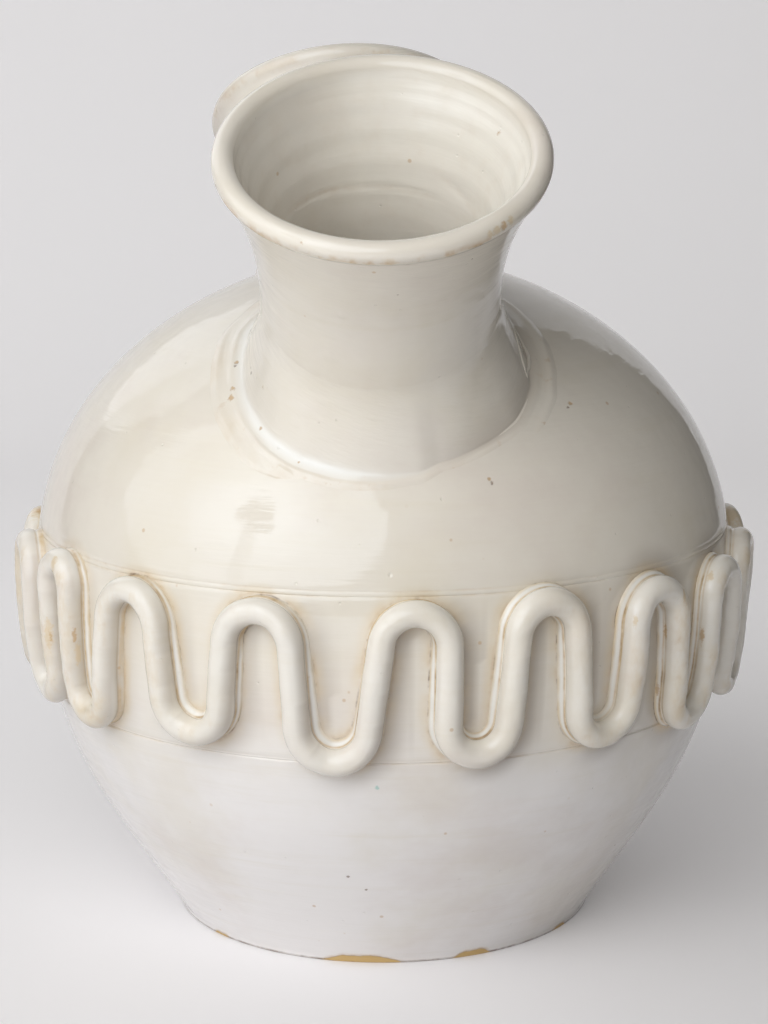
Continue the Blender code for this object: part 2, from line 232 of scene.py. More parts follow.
def belly_outside():
    wall = [p for p in belly_curve(*OUTSIDE_POINTS) if p[1] > 1.5 * FOOT_EDGE]
    for line, depth in GUIDE_LINES:
        half = GUIDE_LINE_WIDTH / 2.0
        wall = [p for p in wall if abs(p[1] - line) > 1.1 * half]
        for share, sink in GUIDE_LINE_CUT:
            height = line + share * half
            wall.append((float(wall_radius(height)) - sink * depth, height))
    wall.sort(key=lambda p: -p[1])
    foot = float(wall_radius(FOOT_EDGE))
    ring_inner = FOOT_RADIUS - FOOT_RING_WIDTH
    edge_handles = ((foot - 0.0005, 0.0), (foot, 0.0))
    edge_end = (foot - FOOT_EDGE, 0.0)
    edge = curve_points((foot, FOOT_EDGE), *edge_handles, edge_end, FOOT_EDGE_POINTS)
    under = [
        (ring_inner, 0.0),
        (ring_inner - 0.001, 0.0004),
        (ring_inner - 0.004, FOOT_RECESS),
        (ring_inner / 2.0, FOOT_RECESS),
        (0.0, FOOT_RECESS),
    ]
    return wall + edge + under


def belly_inside():
    points = []
    for radius, height in belly_curve(*INSIDE_POINTS):
        out, up = wall_out(height)
        if radius == 0.0:
            out, up = 0.0, 1.0
        inner = (radius - out * BELLY_WALL, height - up * BELLY_WALL)
        if inner[1] > FLOOR_LEVEL + FLOOR_CORNER:
            points.append((max(float(inner[0]), 0.0), float(inner[1])))
    reach = float(wall_radius(FLOOR_LEVEL)) - 1.15 * BELLY_WALL
    corner = (reach, FLOOR_LEVEL)
    on_floor = (reach - FLOOR_CORNER, FLOOR_LEVEL)
    points += curve_points(points[-1], corner, corner, on_floor, CORNER_POINTS)[1:]
    return points + [(reach / 2.0, FLOOR_LEVEL), (0.0, FLOOR_LEVEL)]


SPOUT_REACH = 0.069


def spout_frame(bearing, tilt):
    """Axes of a spout: at the dome under its middle, with Z out along the spout."""
    dome = fine_wall[fine_wall[:, 1] > BELLY_LEVEL]
    seat_height = float(np.interp(-SPOUT_REACH, -dome[:, 0], dome[:, 1]))
    turn = Matrix.Rotation(math.radians(bearing), 4, "Z")
    lean = Matrix.Rotation(math.radians(tilt), 4, "Y")
    return turn @ Matrix.Translation((SPOUT_REACH, 0.0, seat_height)) @ lean


SPOUT_RADIUS = 0.0361
SPOUT_WALL = 0.0060
# Bearing and lean in degrees, and length along the spout in metres.
SPOUTS = {
    "front_spout": (spout_frame(-90.3, 30.6), 0.0701),
    "rear_spout": (spout_frame(96.6, 33.5), 0.0687),
}

outside_rings = [ring_of(r, z, BELLY_STEPS) for r, z in belly_outside()]
inside_rings = [ring_of(r, z, BELLY_STEPS // 3) for r, z in belly_inside()]
belly = add_object("belly", turned_mesh("belly", outside_rings))
belly_hollow = add_object("belly_hollow", turned_mesh("belly_hollow", inside_rings))
holes = []
bore = SPOUT_RADIUS - SPOUT_WALL
outline = ((0.0, HOLE_REACH), (bore, HOLE_REACH), (bore, -HOLE_REACH), (0.0, -HOLE_REACH))
for spout_name, (axes, length) in SPOUTS.items():
    column = [ring_of(radius, along, HOLE_STEPS) for radius, along in outline]
    hole = add_object(spout_name + "_hole", turned_mesh(spout_name + "_hole", column))
    hole.matrix_world = axes
    holes.append(hole)
for cutter in [belly_hollow] + holes:
    cut = belly.modifiers.new(cutter.name, "BOOLEAN")
    cut.operation = "DIFFERENCE"
    cut.solver = "EXACT"
    cut.object = cutter
belly_mesh = flat_result(belly)
for cutter in [belly_hollow] + holes:
    bpy.data.objects.remove(cutter, do_unlink=True)

belly_points = read_points(belly_mesh)
radii = np.hypot(belly_points[:, 0], belly_points[:, 1])
on_foot = np.clip(belly_points[:, 2] / 0.02, 0.0, 1.0)
waver = slow_waver(belly_points, 16.0, THROWING_WAVER, 4.0) * on_foot
waver += slow_waver(belly_points, 55.0, 0.25 * THROWING_WAVER, 9.0) * on_foot
belly_points[:, :2] *= (1.0 + waver / np.maximum(radii, 0.01))[:, None]
write_points(belly_mesh, belly_points)
shade_smooth(belly_mesh, 50)


class Value:
    """What a node gives, so that plain + - * / and abs() write the maths nodes."""

    def __init__(self, tree, socket):
        self.tree, self.socket = tree, socket

    def maths(self, operation, second=0.0, clamp=False):
        settings = {"operation": operation, "use_clamp": clamp}
        return node_value(self.tree, "ShaderNodeMath", {0: self, 1: second}, **settings)

    def vector(self, operation, second=None, scale=None):
        inputs = {0: self}
        if second is not None:
            inputs[1] = second
        if scale is not None:
            inputs["Scale"] = scale
        output = "Value" if operation in ("DISTANCE", "LENGTH") else "Vector"
        kind = "ShaderNodeVectorMath"
        return node_value(self.tree, kind, inputs, output, operation=operation)

    def parts(self):
        split = add_node(self.tree, "ShaderNodeSeparateXYZ", {0: self})
        return [Value(self.tree, socket) for socket in split.outputs]

    def __add__(self, other):
        return self.maths("ADD", other)

    def __sub__(self, other):
        return self.maths("SUBTRACT", other)

    def __mul__(self, other):
        return self.maths("MULTIPLY", other)

    def __truediv__(self, other):
        return self.maths("DIVIDE", other)

    def __abs__(self):
        return self.maths("ABSOLUTE")


def set_inputs(tree, node, inputs):
    """Give each named input of a node a plain value or a link."""
    for name, value in dict(inputs).items():
        if isinstance(value, Value):
            tree.links.new(value.socket, node.inputs[name])
        else:
            node.inputs[name].default_value = value


def add_node(tree, kind, inputs=(), **settings):
    made = tree.nodes.new(kind)
    for name, value in settings.items():
        setattr(made, name, value)
    set_inputs(tree, made, inputs)
    return made


def node_value(tree, kind, inputs=(), output=0, **settings):
    return Value(tree, add_node(tree, kind, inputs, **settings).outputs[output])


def ramp(value, low, high, start=0.0, end=1.0):
    """Goes smoothly from start to end while the value goes from low to high."""
    inputs = {0: value, 1: low, 2: high, 3: start, 4: end}
    kind = "ShaderNodeMapRange"
    return node_value(value.tree, kind, inputs, interpolation_type="SMOOTHSTEP")


def clouds(vector, scale, detail=3.0, roughness=0.5, stretch=None):
    """Noise from 0 to 1 on a vector, with the vector stretched first if asked."""
    if stretch:
        vector = vector.vector("MULTIPLY", stretch)
    inputs = {"Vector": vector, "Scale": scale, "Detail": detail, "Roughness": roughness}
    return node_value(vector.tree, "ShaderNodeTexNoise", inputs, "Fac")


def blend_colour(share, under, over):
    inputs = {0: share, 6: under, 7: over}
    return node_value(share.tree, "ShaderNodeMix", inputs, 2, data_type="RGBA")


MILK_WHITE = (0.790, 0.740, 0.652, 1.0)
# Lower down on the belly: a cooler white, made lighter as painted light bounced up from the floor.
COOL_WHITE_AND_BOUNCE = (0.885, 0.856, 0.838, 1.0)
# Painted light inside the bores.
BORE_PAINTED_LIGHT = (0.905, 0.872, 0.795, 1.0)
ROPE_WHITE = (0.835, 0.798, 0.728, 1.0)
CREAM = (0.72, 0.65, 0.50, 1.0)
ROSE_CLAY = (0.68, 0.585, 0.53, 1.0)
THIN_TAN = (0.54, 0.34, 0.15, 1.0)
OCHRE = (0.70, 0.56, 0.36, 1.0)
# Pooled glaze on the rope's shelves, and a painted highlight along the luting's groove.
POOLED_AND_HIGHLIGHT_WHITE = (0.860, 0.862, 0.835, 1.0)
IRON_BROWN = (0.16, 0.08, 0.03, 1.0)
BARE_CLAY = (0.64, 0.44, 0.18, 1.0)
# Painted shade, laid on the sides turned from the umbrella.
PAINTED_SHADE_BROWN = (0.30, 0.235, 0.18, 1.0)
COPPER_SPECK = (0.35, 0.62, 0.56, 1.0)


def attribute_value(tree, name, output="Fac"):
    return node_value(tree, "ShaderNodeAttribute", (), output, attribute_name=name)


def specks(place, spacing, size, share):
    """Round spots scattered through space; share is how many cells hold one."""
    inputs = {"Vector": place, "Scale": 1.0 / spacing, "Randomness": 1.0}
    cells = add_node(place.tree, "ShaderNodeTexVoronoi", inputs)
    away = Value(place.tree, cells.outputs["Distance"])
    near = ramp(away, 0.5 * size / spacing, size / spacing, 1.0, 0.0)
    cell_colour = Value(place.tree, cells.outputs["Color"])
    lot = node_value(place.tree, "ShaderNodeSeparateColor", {0: cell_colour})
    return near * ramp(lot, 1.0 - share, 1.0 - share + 0.02)


MARK_REACH = 0.0008


def in_metres(marks):
    """Marks listed in millimetres as (spot, size, colour, depth) in metres."""
    return [
        ((x / 1000.0, y / 1000.0, z / 1000.0), size / 1000.0, colour, depth / 1000.0)
        for x, y, z, size, colour, depth in marks
    ]


def on_skin(mesh, marks):
    """Bring each mark to within MARK_REACH of the nearest point of the skin."""
    points = read_points(mesh)
    placed = []
    for spot, size, colour, depth in in_metres(marks):
        nearest = np.argmin(np.sum((points - np.array(spot)) ** 2, axis=1))
        away = points[nearest] - np.array(spot)
        share = min(1.0, MARK_REACH / max(float(np.linalg.norm(away)), 1e-6))
        placed.append((tuple(points[nearest] - away * share), size, colour, depth))
    return placed


def tin_glaze(name, slot_colour, low_colour_and_bounce, marks, wear, squash=(1.0, 1.0, 1.0)):
    """Glossy white glaze over buff clay, thin and tan where the wear masks say.

    wear is a function that gets the tree, the place on the piece and the attribute
    "turned". It returns masks from 0 to 1 by name (ochre, tan, iron, which on the belly
    also holds a painted contact shadow, and bare) and may return the relief, which is
    the height of what stands up or is cut in, in metres.
    squash draws the round marks out along the axes on which it is below 1.
    """
    material = bpy.data.materials.new(name)
    material.use_nodes = True
    tree = material.node_tree
    shader = tree.nodes["Principled BSDF"]
    place = node_value(tree, "ShaderNodeTexCoord", (), "Object")
    turned = attribute_value(tree, "turned", "Vector")
    bore = attribute_value(tree, "rubbed")
    masks = wear(tree, place, turned)

    patches = clouds(place, 22.0, 4.0, 0.55)
    thin = clouds(place, 13.0, 5.0, 0.62, (1.0, 1.0, 1.6))
    brushed = clouds(turned, 60.0, 5.0, 0.65, (0.22, 0.22, 4.0))
    beside = ramp(attribute_value(tree, "rope_gap"), 0.0, 0.0095, 1.0, 0.0)
    mottle = ramp(clouds(place, 260.0, 3.0, 0.6), 0.35, 0.70, 0.35, 1.0)
    layers = [
        # Towards the low colour lower down: on the belly a cooler white with painted bounce light.
        (ramp(place.parts()[2], 0.055, 0.115, 1.0, 0.0), low_colour_and_bounce),
        (ramp(patches, 0.45, 0.75, 0.0, 0.35), CREAM),
        (ramp(thin, 0.48, 0.72, 0.0, 0.34), ROSE_CLAY),
        (ramp(brushed, 0.50, 0.78, 0.0, 0.20), CREAM),
        # Inside the bores the glaze is lifted whiter: painted light in the shaded bore.
        (bore * 0.6, BORE_PAINTED_LIGHT),
        # Whiter where the glaze pooled, and a painted highlight in the luting's groove.
        (attribute_value(tree, "pooled"), POOLED_AND_HIGHLIGHT_WHITE),
        # Painted shade beside the rope and on the parts turned from the umbrella.
        (attribute_value(tree, "lee") * beside, PAINTED_SHADE_BROWN),
    ]
    for mask, strength, mask_colour in (
        ("ochre", 1.0, OCHRE), ("tan", mottle, THIN_TAN), ("iron", mottle, IRON_BROWN)
    ):
        if mask in masks:
            layers.append((masks[mask].maths("MULTIPLY", strength, True), mask_colour))
    layers += [
        (specks(place, 0.010, 0.00080, 0.32) * 0.50, THIN_TAN),
        (specks(place, 0.013, 0.00040, 0.28) * 0.80, IRON_BROWN),
    ]

    pinholes = specks(place, 0.006, 0.00048, 0.35)
    swell = clouds(place, 30.0, 3.0, 0.5) * 0.00060
    dimples = clouds(place, 120.0, 2.0, 0.5) * 0.00007
    peel = clouds(place, 420.0, 2.0, 0.5) * 0.000010
    rings = clouds(turned, 150.0, 4.0, 0.6, (0.10, 0.10, 1.3)) * 0.00020
    lines = clouds(turned, 560.0, 3.0, 0.6, (0.035, 0.035, 1.0)) * 0.000013
    height = swell + dimples + peel + rings + lines + pinholes * -0.00012
    if "relief" in masks:
        height = height + masks["relief"]

    crumbly = clouds(place, 950.0, 4.0, 0.7)
    squashed = place.vector("MULTIPLY", squash)
    for spot, size, mark_colour, depth in marks:
        away = squashed.vector("DISTANCE", [x * share for x, share in zip(spot, squash)])
        if mark_colour:
            reach = away + crumbly * (2.4 * size)
            mark = ramp(reach, 1.65 * size, 2.40 * size, 0.7, 0.0)
            layers.append((mark, mark_colour))
        else:
            mark = ramp(away, 0.0, 1.6 * size, 1.0, 0.0)
        height = height + mark * -depth

    roughness = ramp(patches, 0.3, 0.7, 0.045, 0.085) + masks["tan"] * 0.08 + bore * 0.14
    if "bare" in masks:
        layers.append((masks["bare"], BARE_CLAY))
        roughness = roughness + masks["bare"] * 0.55
    colour = slot_colour
    for share, layer_colour in layers:
        colour = blend_colour(share, colour, layer_colour)
    bump = {"Height": height, "Strength": 1.0, "Distance": 1.0}
    set_inputs(tree, shader, {
        "Base Color": colour,
        "Roughness": roughness,
        "IOR": 1.70,
        "Specular Tint": (0.80, 0.89, 1.0, 1.0),
        "Normal": node_value(tree, "ShaderNodeBump", bump, "Normal"),
    })
    return material


def band(value, middle, half_width):
    """1 where the value is at the middle, and 0 half a width away from it."""
    return ramp(abs(value - middle), 0.0, half_width, 1.0, 0.0)


def belly_wear(tree, place, turned):
    """Tan halos by rope and luting, tan guide lines, bare foot and its painted contact shadow."""
    sideways, _, height = place.parts()
    patchy = clouds(place, 70.0, 3.0, 0.6)
    fine = clouds(place, 170.0, 3.0, 0.6)

    beside_rope = attribute_value(tree, "rope_gap")
    halo = band(beside_rope + fine * -0.0016, -0.0006, 0.0010)
    halo = halo * ramp(patchy, 0.40, 0.68, 0.06, 0.42)
    glow = ramp(beside_rope, 0.0003, 0.0042, 0.75, 0.0)
    # The ochre glow grows towards +X, partly a painted shade on the side turned from the umbrella.
    glow = glow * ramp(patchy, 0.32, 0.70, 0.15, 0.85) * ramp(sideways, -0.03, 0.09, 0.75, 1.0)
    seam = band(beside_rope, -0.0001, 0.0005) * ramp(fine, 0.48, 0.66, 0.0, 0.75)
    off_belt = ramp(abs(height - BELT_MIDDLE), 0.020, 0.027, 1.0, 0.0)
    glow = glow + off_belt * ramp(patchy, 0.3, 0.7, 0.0, 0.05)

    tan = halo
    for line, depth in GUIDE_LINES:
        share = ramp(patchy, 0.40, 0.62, 0.05, 1300.0 * depth)
        share = share * ramp(sideways, 0.02, 0.08, 1.0, 0.35)
        tan = tan + band(height, line, 0.0006) * share
    beside_luting = attribute_value(tree, "luting_gap")
    smeared = ramp(clouds(place, 38.0, 4.0, 0.65), 0.50, 0.72, 0.0, 0.22)
    tan = tan + ramp(beside_luting, 0.0, 0.011, 1.0, 0.0) * smeared
    tan = tan + band(beside_luting + fine * -0.0024, 0.0002, 0.0011) * smeared

    wiped = height - attribute_value(tree, "wiped") + (fine - 0.5) * 0.0018
    bare = ramp(wiped, -0.0002, 0.0002, 1.0, 0.0)
    return {
        "ochre": glow,
        "tan": tan + ramp(wiped, 0.0, 0.0012, 0.55, 0.0),
        # Below about 1 mm the foot gets a painted contact shadow where it stands on the table.
        "iron": seam + ramp(height, 0.0003, 0.0011, 0.8, 0.0),
        "bare": bare,
        "relief": bare * -0.00025,
    }


# Where the sponge took the glaze off the foot: bearing and half width in degrees, and
# the height it reached in metres.
WIPED_PATCHES = (
    (-96.0, 8.0, 0.0026), (-66.0, 4.5, 0.0022), (-34.0, 3.0, 0.0012), (-140.0, 3.0, 0.0010),
    (10.0, 9.0, 0.0024), (62.0, 6.0, 0.0018), (118.0, 11.0, 0.0026), (171.0, 7.0, 0.0020),
)
NOT_WIPED = 0.0010
# Stains and pits in millimetres: x, y, z, radius, colour (None for none) and depth, which
# is below zero for a bump.
BELLY_MARKS = (
    (-2.1, -108.5, 71.0, 0.7, COPPER_SPECK, 0.0), (-50.0, -56.0, 193.5, 1.4, THIN_TAN, 0.1),
    (57.0, -69.5, 180.7, 0.8, THIN_TAN, 0.1), (56.2, -71.1, 179.5, 0.6, IRON_BROWN, 0.1),
    (31.0, -98.3, 163.2, 0.6, THIN_TAN, 0.1), (32.2, -98.8, 161.8, 0.6, IRON_BROWN, 0.1),
    (2.0, -113.2, 137.4, 0.6, None, 0.22), (-11.1, -92.4, 37.2, 0.5, IRON_BROWN, 0.1),
    (-5.6, -89.6, 31.9, 0.5, IRON_BROWN, 0.1),
)

belly_marks = on_skin(belly_mesh, BELLY_MARKS)
belly_glaze = tin_glaze("belly_glaze", MILK_WHITE, COOL_WHITE_AND_BOUNCE, belly_marks, belly_wear)
belly_mesh.materials.append(belly_glaze)
belly_points = read_points(belly_mesh)
around_foot = np.degrees(np.arctan2(belly_points[:, 1], belly_points[:, 0]))
wiped = np.full(len(belly_points), -NOT_WIPED)
for bearing, half_width, height in WIPED_PATCHES:
    away = (around_foot - bearing + 180.0) % 360.0 - 180.0
    wiped += (height + NOT_WIPED) * np.clip(1.6 - np.abs(away) / half_width, 0.0, 1.0)
write_attributes(belly_mesh, turned=belly_points, wiped=wiped)
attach(belly, "root")
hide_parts("vase_body", "vase_dome")

# Necks
# Two short necks of the same clay, thrown on their own with a rolled lip, cut to the dome
# while leather-hard and luted over the holes. Their bores keep the thrower's rings.
SPOUT_STEM = 0.023
MOUTH_RADIUS = 0.0458
LIP_RADIUS = 0.0034
LIP_UNDERCUT = 0.0009
FLARE_FULLNESS = 0.45
SPOUT_STEPS = 220
STEM_RINGS = 16
FLARE_POINTS = 48
HALVINGS = 22
MOUTH_LEAN = 0.0007
MOUTH_OVAL = 0.0004
SWAY = 0.00030
SWAY_SCALE = 30.0
SWAY_SEEDS = {"front_spout": 2.0, "rear_spout": 5.0}
# What the thrower's fingers left inside a neck: how far along it, how wide, how deep.
BORE_RINGS = (
    (0.0672, 0.0007, 0.00010), (0.0648, 0.0010, 0.00017), (0.0618, 0.0008, -0.00007),
    (0.0590, 0.0013, 0.00010), (0.0552, 0.0012, -0.00009), (0.0512, 0.0018, 0.00012),
    (0.0462, 0.0015, -0.00012), (0.0415, 0.0018, 0.00009), (0.0330, 0.0022, 0.00010),
)
# The crease in the front bore has a level part and a slanting one: the middle and half
# length of each in degrees, its height along the neck, and its depth.
LEVEL_CREASE = (200.0, 62.0, 0.0372, 0.00038)
SLANT_CREASE = (135.0, 18.0, 0.0392, 0.00026)
CREASE_WIDTH = 0.0008
FULL_CREASE = 0.0005


def over_dome(axes, bearing, radius):
    """Distance along a spout, beside its axis, at which the dome's skin lies."""
    low, high = -2.0 * SPOUT_RADIUS, 2.0 * SPOUT_RADIUS
    for halving in range(HALVINGS):
        middle = (low + high) / 2.0
        point = axes @ Vector(at_bearing(radius, bearing, middle))
        if point.z < DOME_HEIGHT and point.xy.length < wall_radius(point.z):
            low = middle
        else:
            high = middle
    return high


def neck_section(length):
    """Outer side and lip from the stem up, and the bore from the lip to the stem."""

    def on_lip(degrees):
        across, up = math.cos(math.radians(degrees)), math.sin(math.radians(degrees))
        return MOUTH_RADIUS + LIP_RADIUS * across, length + LIP_RADIUS * up

    def flare(edge, stem_radius):
        reach = FLARE_FULLNESS * (edge[1] - SPOUT_STEM)
        spread = FLARE_FULLNESS * (edge[0] - stem_radius)
        stem = (stem_radius, SPOUT_STEM)
        start_handle = (edge[0] - spread, edge[1] - reach / 2.0)
        end_handle = (stem_radius, SPOUT_STEM + reach)
        return curve_points(edge, start_handle, end_handle, stem, FLARE_POINTS)

    lip = [on_lip(degrees) for degrees in range(-50, 170, 10)]
    tuck = (lip[0][0] - LIP_UNDERCUT, lip[0][1] - LIP_UNDERCUT)
    inner_edge = on_lip(190)
    inner_edge = (inner_edge[0] - 0.0002, inner_edge[1] - 0.0012)
    outer = flare(tuck, SPOUT_RADIUS)[::-1]
    inner = flare(inner_edge, SPOUT_RADIUS - SPOUT_WALL)
    return outer + lip + inner, len(outer), len(lip)


def bore_rings(along, bearing):
    waver = 0.0012 * 0.35 * math.sin(bearing + 1.0)
    return sum(depth * bell(along - place - waver, width) for place, width, depth in BORE_RINGS)


def luting_crease(along, bearing):
    """The sharp step left at the back of the front bore where a collar was joined on."""
    turn = math.degrees(bearing) % 360.0
    middle, half_length, height, depth = LEVEL_CREASE
    share = max(0.0, 1.0 - abs(turn - middle) / half_length)
    height += 0.0016 * math.sin(math.radians(turn - 180.0) * 1.5)
    level = depth * min(1.0, 2.0 * share) * bell(along - height, CREASE_WIDTH)
    middle, half_length, height, depth = SLANT_CREASE
    share = max(0.0, 1.0 - abs(turn - middle) / half_length)
    height += 0.00018 * (turn - 123.0)
    return level + depth * share * bell(along - height, CREASE_WIDTH)


def neck_rings(axes, length, with_crease):
    section, outer_count, lip_count = neck_section(length)
    bore_start = STEM_RINGS + outer_count + lip_count
    shares = [i / STEM_RINGS for i in range(STEM_RINGS + 1)]
    bore = SPOUT_RADIUS - SPOUT_WALL
    columns = []
    for step in range(SPOUT_STEPS):
        bearing = 2.0 * math.pi * step / SPOUT_STEPS
        outer_root = over_dome(axes, bearing, SPOUT_RADIUS)
        inner_root = over_dome(axes, bearing, bore)
        points = [(SPOUT_RADIUS, outer_root + (SPOUT_STEM - outer_root) * x) for x in shares[:-1]]
        points += section
        points += [(bore, SPOUT_STEM + (inner_root - SPOUT_STEM) * x) for x in shares[1:]]
        column = []
        for index, (radius, along) in enumerate(points):
            near_mouth = min(1.0, max(0.0, (along - SPOUT_STEM) / (length - SPOUT_STEM)))
            if index >= bore_start:
                radius += bore_rings(along, bearing)
                if with_crease:
                    radius += luting_crease(along, bearing)
            warp = MOUTH_LEAN * near_mouth ** 2 * math.sin(bearing - 0.5)
            warp += MOUTH_OVAL * near_mouth ** 2 * math.cos(2.0 * bearing + 0.7)
            column.append(at_bearing(radius + warp, bearing, along))
        columns.append(column)
    return list(zip(*columns))


def sway_spout(mesh, spout_name, bearings, share=1.0):
    """Move the points slowly in and out from the spout's axis, and give the new ones."""
    points = read_points(mesh)
    sway = slow_waver(points, SWAY_SCALE, SWAY, SWAY_SEEDS[spout_name]) * share
    outward = np.array([np.cos(bearings), np.sin(bearings), 0 * bearings])
    points += (np.array(SPOUTS[spout_name][0].to_3x3()) @ outward).T * sway[:, None]
    write_points(mesh, points)
    return points


def leaning(turned, angle):
    """The turned coordinates leant over, for smears that don't run level."""
    inputs = {"Vector": turned, "Angle": angle}
    kind = "ShaderNodeVectorRotate"
    return node_value(turned.tree, kind, inputs, rotation_type="X_AXIS")


def neck_wear(tree, place, turned):
    """Tan under the lip's edge and in the crease, and the smears of wet fingers."""
    patchy = clouds(place, 120.0, 3.0, 0.6)
    fine = clouds(place, 300.0, 3.0, 0.6)
    bore = attribute_value(tree, "rubbed")
    lip_edge = attribute_value(tree, "lip_edge")
    crease = attribute_value(tree, "crease")
    root = attribute_value(tree, "luting_gap")
    worn = lip_edge * ramp(patchy, 0.46, 0.62, 0.04, 0.75)
    tan = worn + crease * ramp(patchy, 0.3, 0.6, 0.10, 0.30)
    tan = tan + bore * ramp(patchy, 0.40, 0.75, 0.0, 0.08)
    tan = tan + root * ramp(clouds(place, 45.0, 4.0, 0.65), 0.45, 0.70, 0.0, 0.16)
    smears = clouds(leaning(turned, 0.30), 170.0, 4.0, 0.62, (0.12, 0.12, 1.0)) * 0.00020
    smears = smears + clouds(turned, 470.0, 3.0, 0.6, (0.03, 0.03, 1.0)) * 0.000040
    smears = smears * ramp(bore, 0.0, 1.0, 1.0, 0.22)
    return {
        "ochre": worn * 0.6,
        "tan": tan,
        "iron": lip_edge * ramp(fine, 0.60, 0.68, 0.0, 0.40),
        "relief": smears + crease * -0.00008,
    }


NECK_MARKS = {
    "front_spout": (
        (-11.5, -120.7, 214.8, 1.4, None, -0.16), (-15.2, -109.1, 201.1, 1.8, None, -0.2),
        (4.3, -129.4, 222.1, 0.6, IRON_BROWN, 0.1), (32.7, -84.9, 263.9, 1.1, THIN_TAN, 0.2),
        (-47.6, -116.2, 249.7, 1.5, THIN_TAN, 0.4), (-48.0, -115.0, 247.8, 1.2, THIN_TAN, 0.2),
        (33.8, -135.7, 241.2, 1.4, THIN_TAN, 0.1), (31.8, -137.2, 240.0, 1.7, OCHRE, 0.1),
        (30.0, -138.6, 239.1, 1.3, OCHRE, 0.1), (35.6, -134.0, 242.6, 1.3, OCHRE, 0.1),
        (-33.7, -135.3, 238.8, 1.2, OCHRE, 0.1), (-22.4, -143.7, 237.7, 0.9, THIN_TAN, 0.1),
    ),
    "rear_spout": (
        (28.0, 139.0, 240.0, 1.8, THIN_TAN, 0.4), (-42.0, 133.0, 242.0, 1.3, IRON_BROWN, 0.2),
    ),
}

for spout_name, (axes, length) in SPOUTS.items():
    front = spout_name == "front_spout"
    rings = neck_rings(axes, length, front)
    neck_mesh = turned_mesh(spout_name + "_neck", rings, wrap_rings=True)
    local = read_points(neck_mesh)
    bearings = np.arctan2(local[:, 1], local[:, 0])
    index = np.repeat(np.arange(len(rings)), SPOUT_STEPS)
    section, outer_count, lip_count = neck_section(length)
    lip_start = STEM_RINGS + outer_count
    lip_edge = bell(index - lip_start - 2.5, 2.6) * (1.0 if front else 0.3)
    in_bore = index >= lip_start + lip_count
    crease = np.array([
        luting_crease(z, b) if inside and front else 0.0
        for z, b, inside in zip(local[:, 2], bearings, in_bore)
    ]) / FULL_CREASE
    neck_mesh.transform(axes)
    world = sway_spout(neck_mesh, spout_name, bearings)
    near_root = np.clip(1.0 - local[:, 2] / SPOUT_STEM, 0.0, 1.0)
    write_attributes(neck_mesh, turned=local, lip_edge=lip_edge, crease=crease)
    write_attributes(neck_mesh, rubbed=in_bore, luting_gap=near_root)
    if front:
        # Painted shade on the left wall of the front bore.
        bore_left_shade = np.clip(-15.0 * world[:, 0] - 0.1, 0.0, 0.24)
        write_attributes(neck_mesh, lee=in_bore * bore_left_shade)
    shade_smooth(neck_mesh, 60)
    neck = add_object(spout_name + "_neck", neck_mesh)
    marks = on_skin(neck_mesh, NECK_MARKS[spout_name])
    neck_mesh.materials.append(
        tin_glaze(spout_name + "_glaze", MILK_WHITE, MILK_WHITE, marks, neck_wear)
    )
    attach(neck, "root")
    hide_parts(spout_name)

# Luting
# A roll of soft clay pushed into the corner round each neck's root and drawn out over
# the dome with a wet finger, which leaves smears, a few ridges and two small burrs.
LUTING_REACH = 0.0080
LUTING_RISE = {"front_spout": 0.0235, "rear_spout": 0.0170}
LUTING_SINK = 0.00005
LUTING_POINTS = 16
GROOVE_POINTS = 9
SMEAR_POINTS = 15
# The points of the section that get a painted shadow, on the right of the front neck.
SHADE_MIDDLE = 19.0
SHADE_REACH = 9.0
# How far the hand and the finger strayed, as shares of the collar's rise and reach.
HAND_STRAY = 0.10
FINGER_STRAY = 0.05
# Where the collar's hollow turns, as shares of its reach and rise, and its handles.
COLLAR_BEND = (0.36, 0.42)
COLLAR_TOP_HANDLE = 0.30
COLLAR_FOOT_HANDLE = 0.42
LUTING_SKIN = 0.0001
SMEAR_LEAST = 0.0030
SMEAR_MORE = 0.0070
# Two ridges of clay pushed up beside the groove: height, and where the second lies.
NEAR_RIDGE = 0.00032
FAR_RIDGE = 0.00040
FAR_RIDGE_PLACE = 0.0060
# The groove at the foot of the front collar: bearing in degrees, how far it lies from
# the neck, and how wide the finger rounded it.
FRONT_GROOVE = (
    (0, 0.0088, 0.0024), (15, 0.0091, 0.0011), (23, 0.0083, 0.0008), (41, 0.0086, 0.0009),
    (60, 0.0098, 0.0010), (80, 0.0095, 0.0012), (88, 0.0086, 0.0016), (120, 0.0078, 0.0028),
    (180, 0.0076, 0.0032), (238, 0.0077, 0.0028), (247, 0.0080, 0.0030), (257, 0.0068, 0.0030),
    (267, 0.0061, 0.0030), (279, 0.0061, 0.0030), (290, 0.0068, 0.0032), (302, 0.0075, 0.0034),
    (320, 0.0086, 0.0036), (344, 0.0086, 0.0034), (360, 0.0088, 0.0024),
)


def beside(bearing, middle, half_width):
    """1 at a bearing in degrees round a neck, going smoothly to 0 beside it."""
    away = (math.degrees(bearing) - middle + 180.0) % 360.0 - 180.0
    return max(0.0, math.cos(math.pi / 2.0 * min(1.0, abs(away) / half_width))) ** 0.7


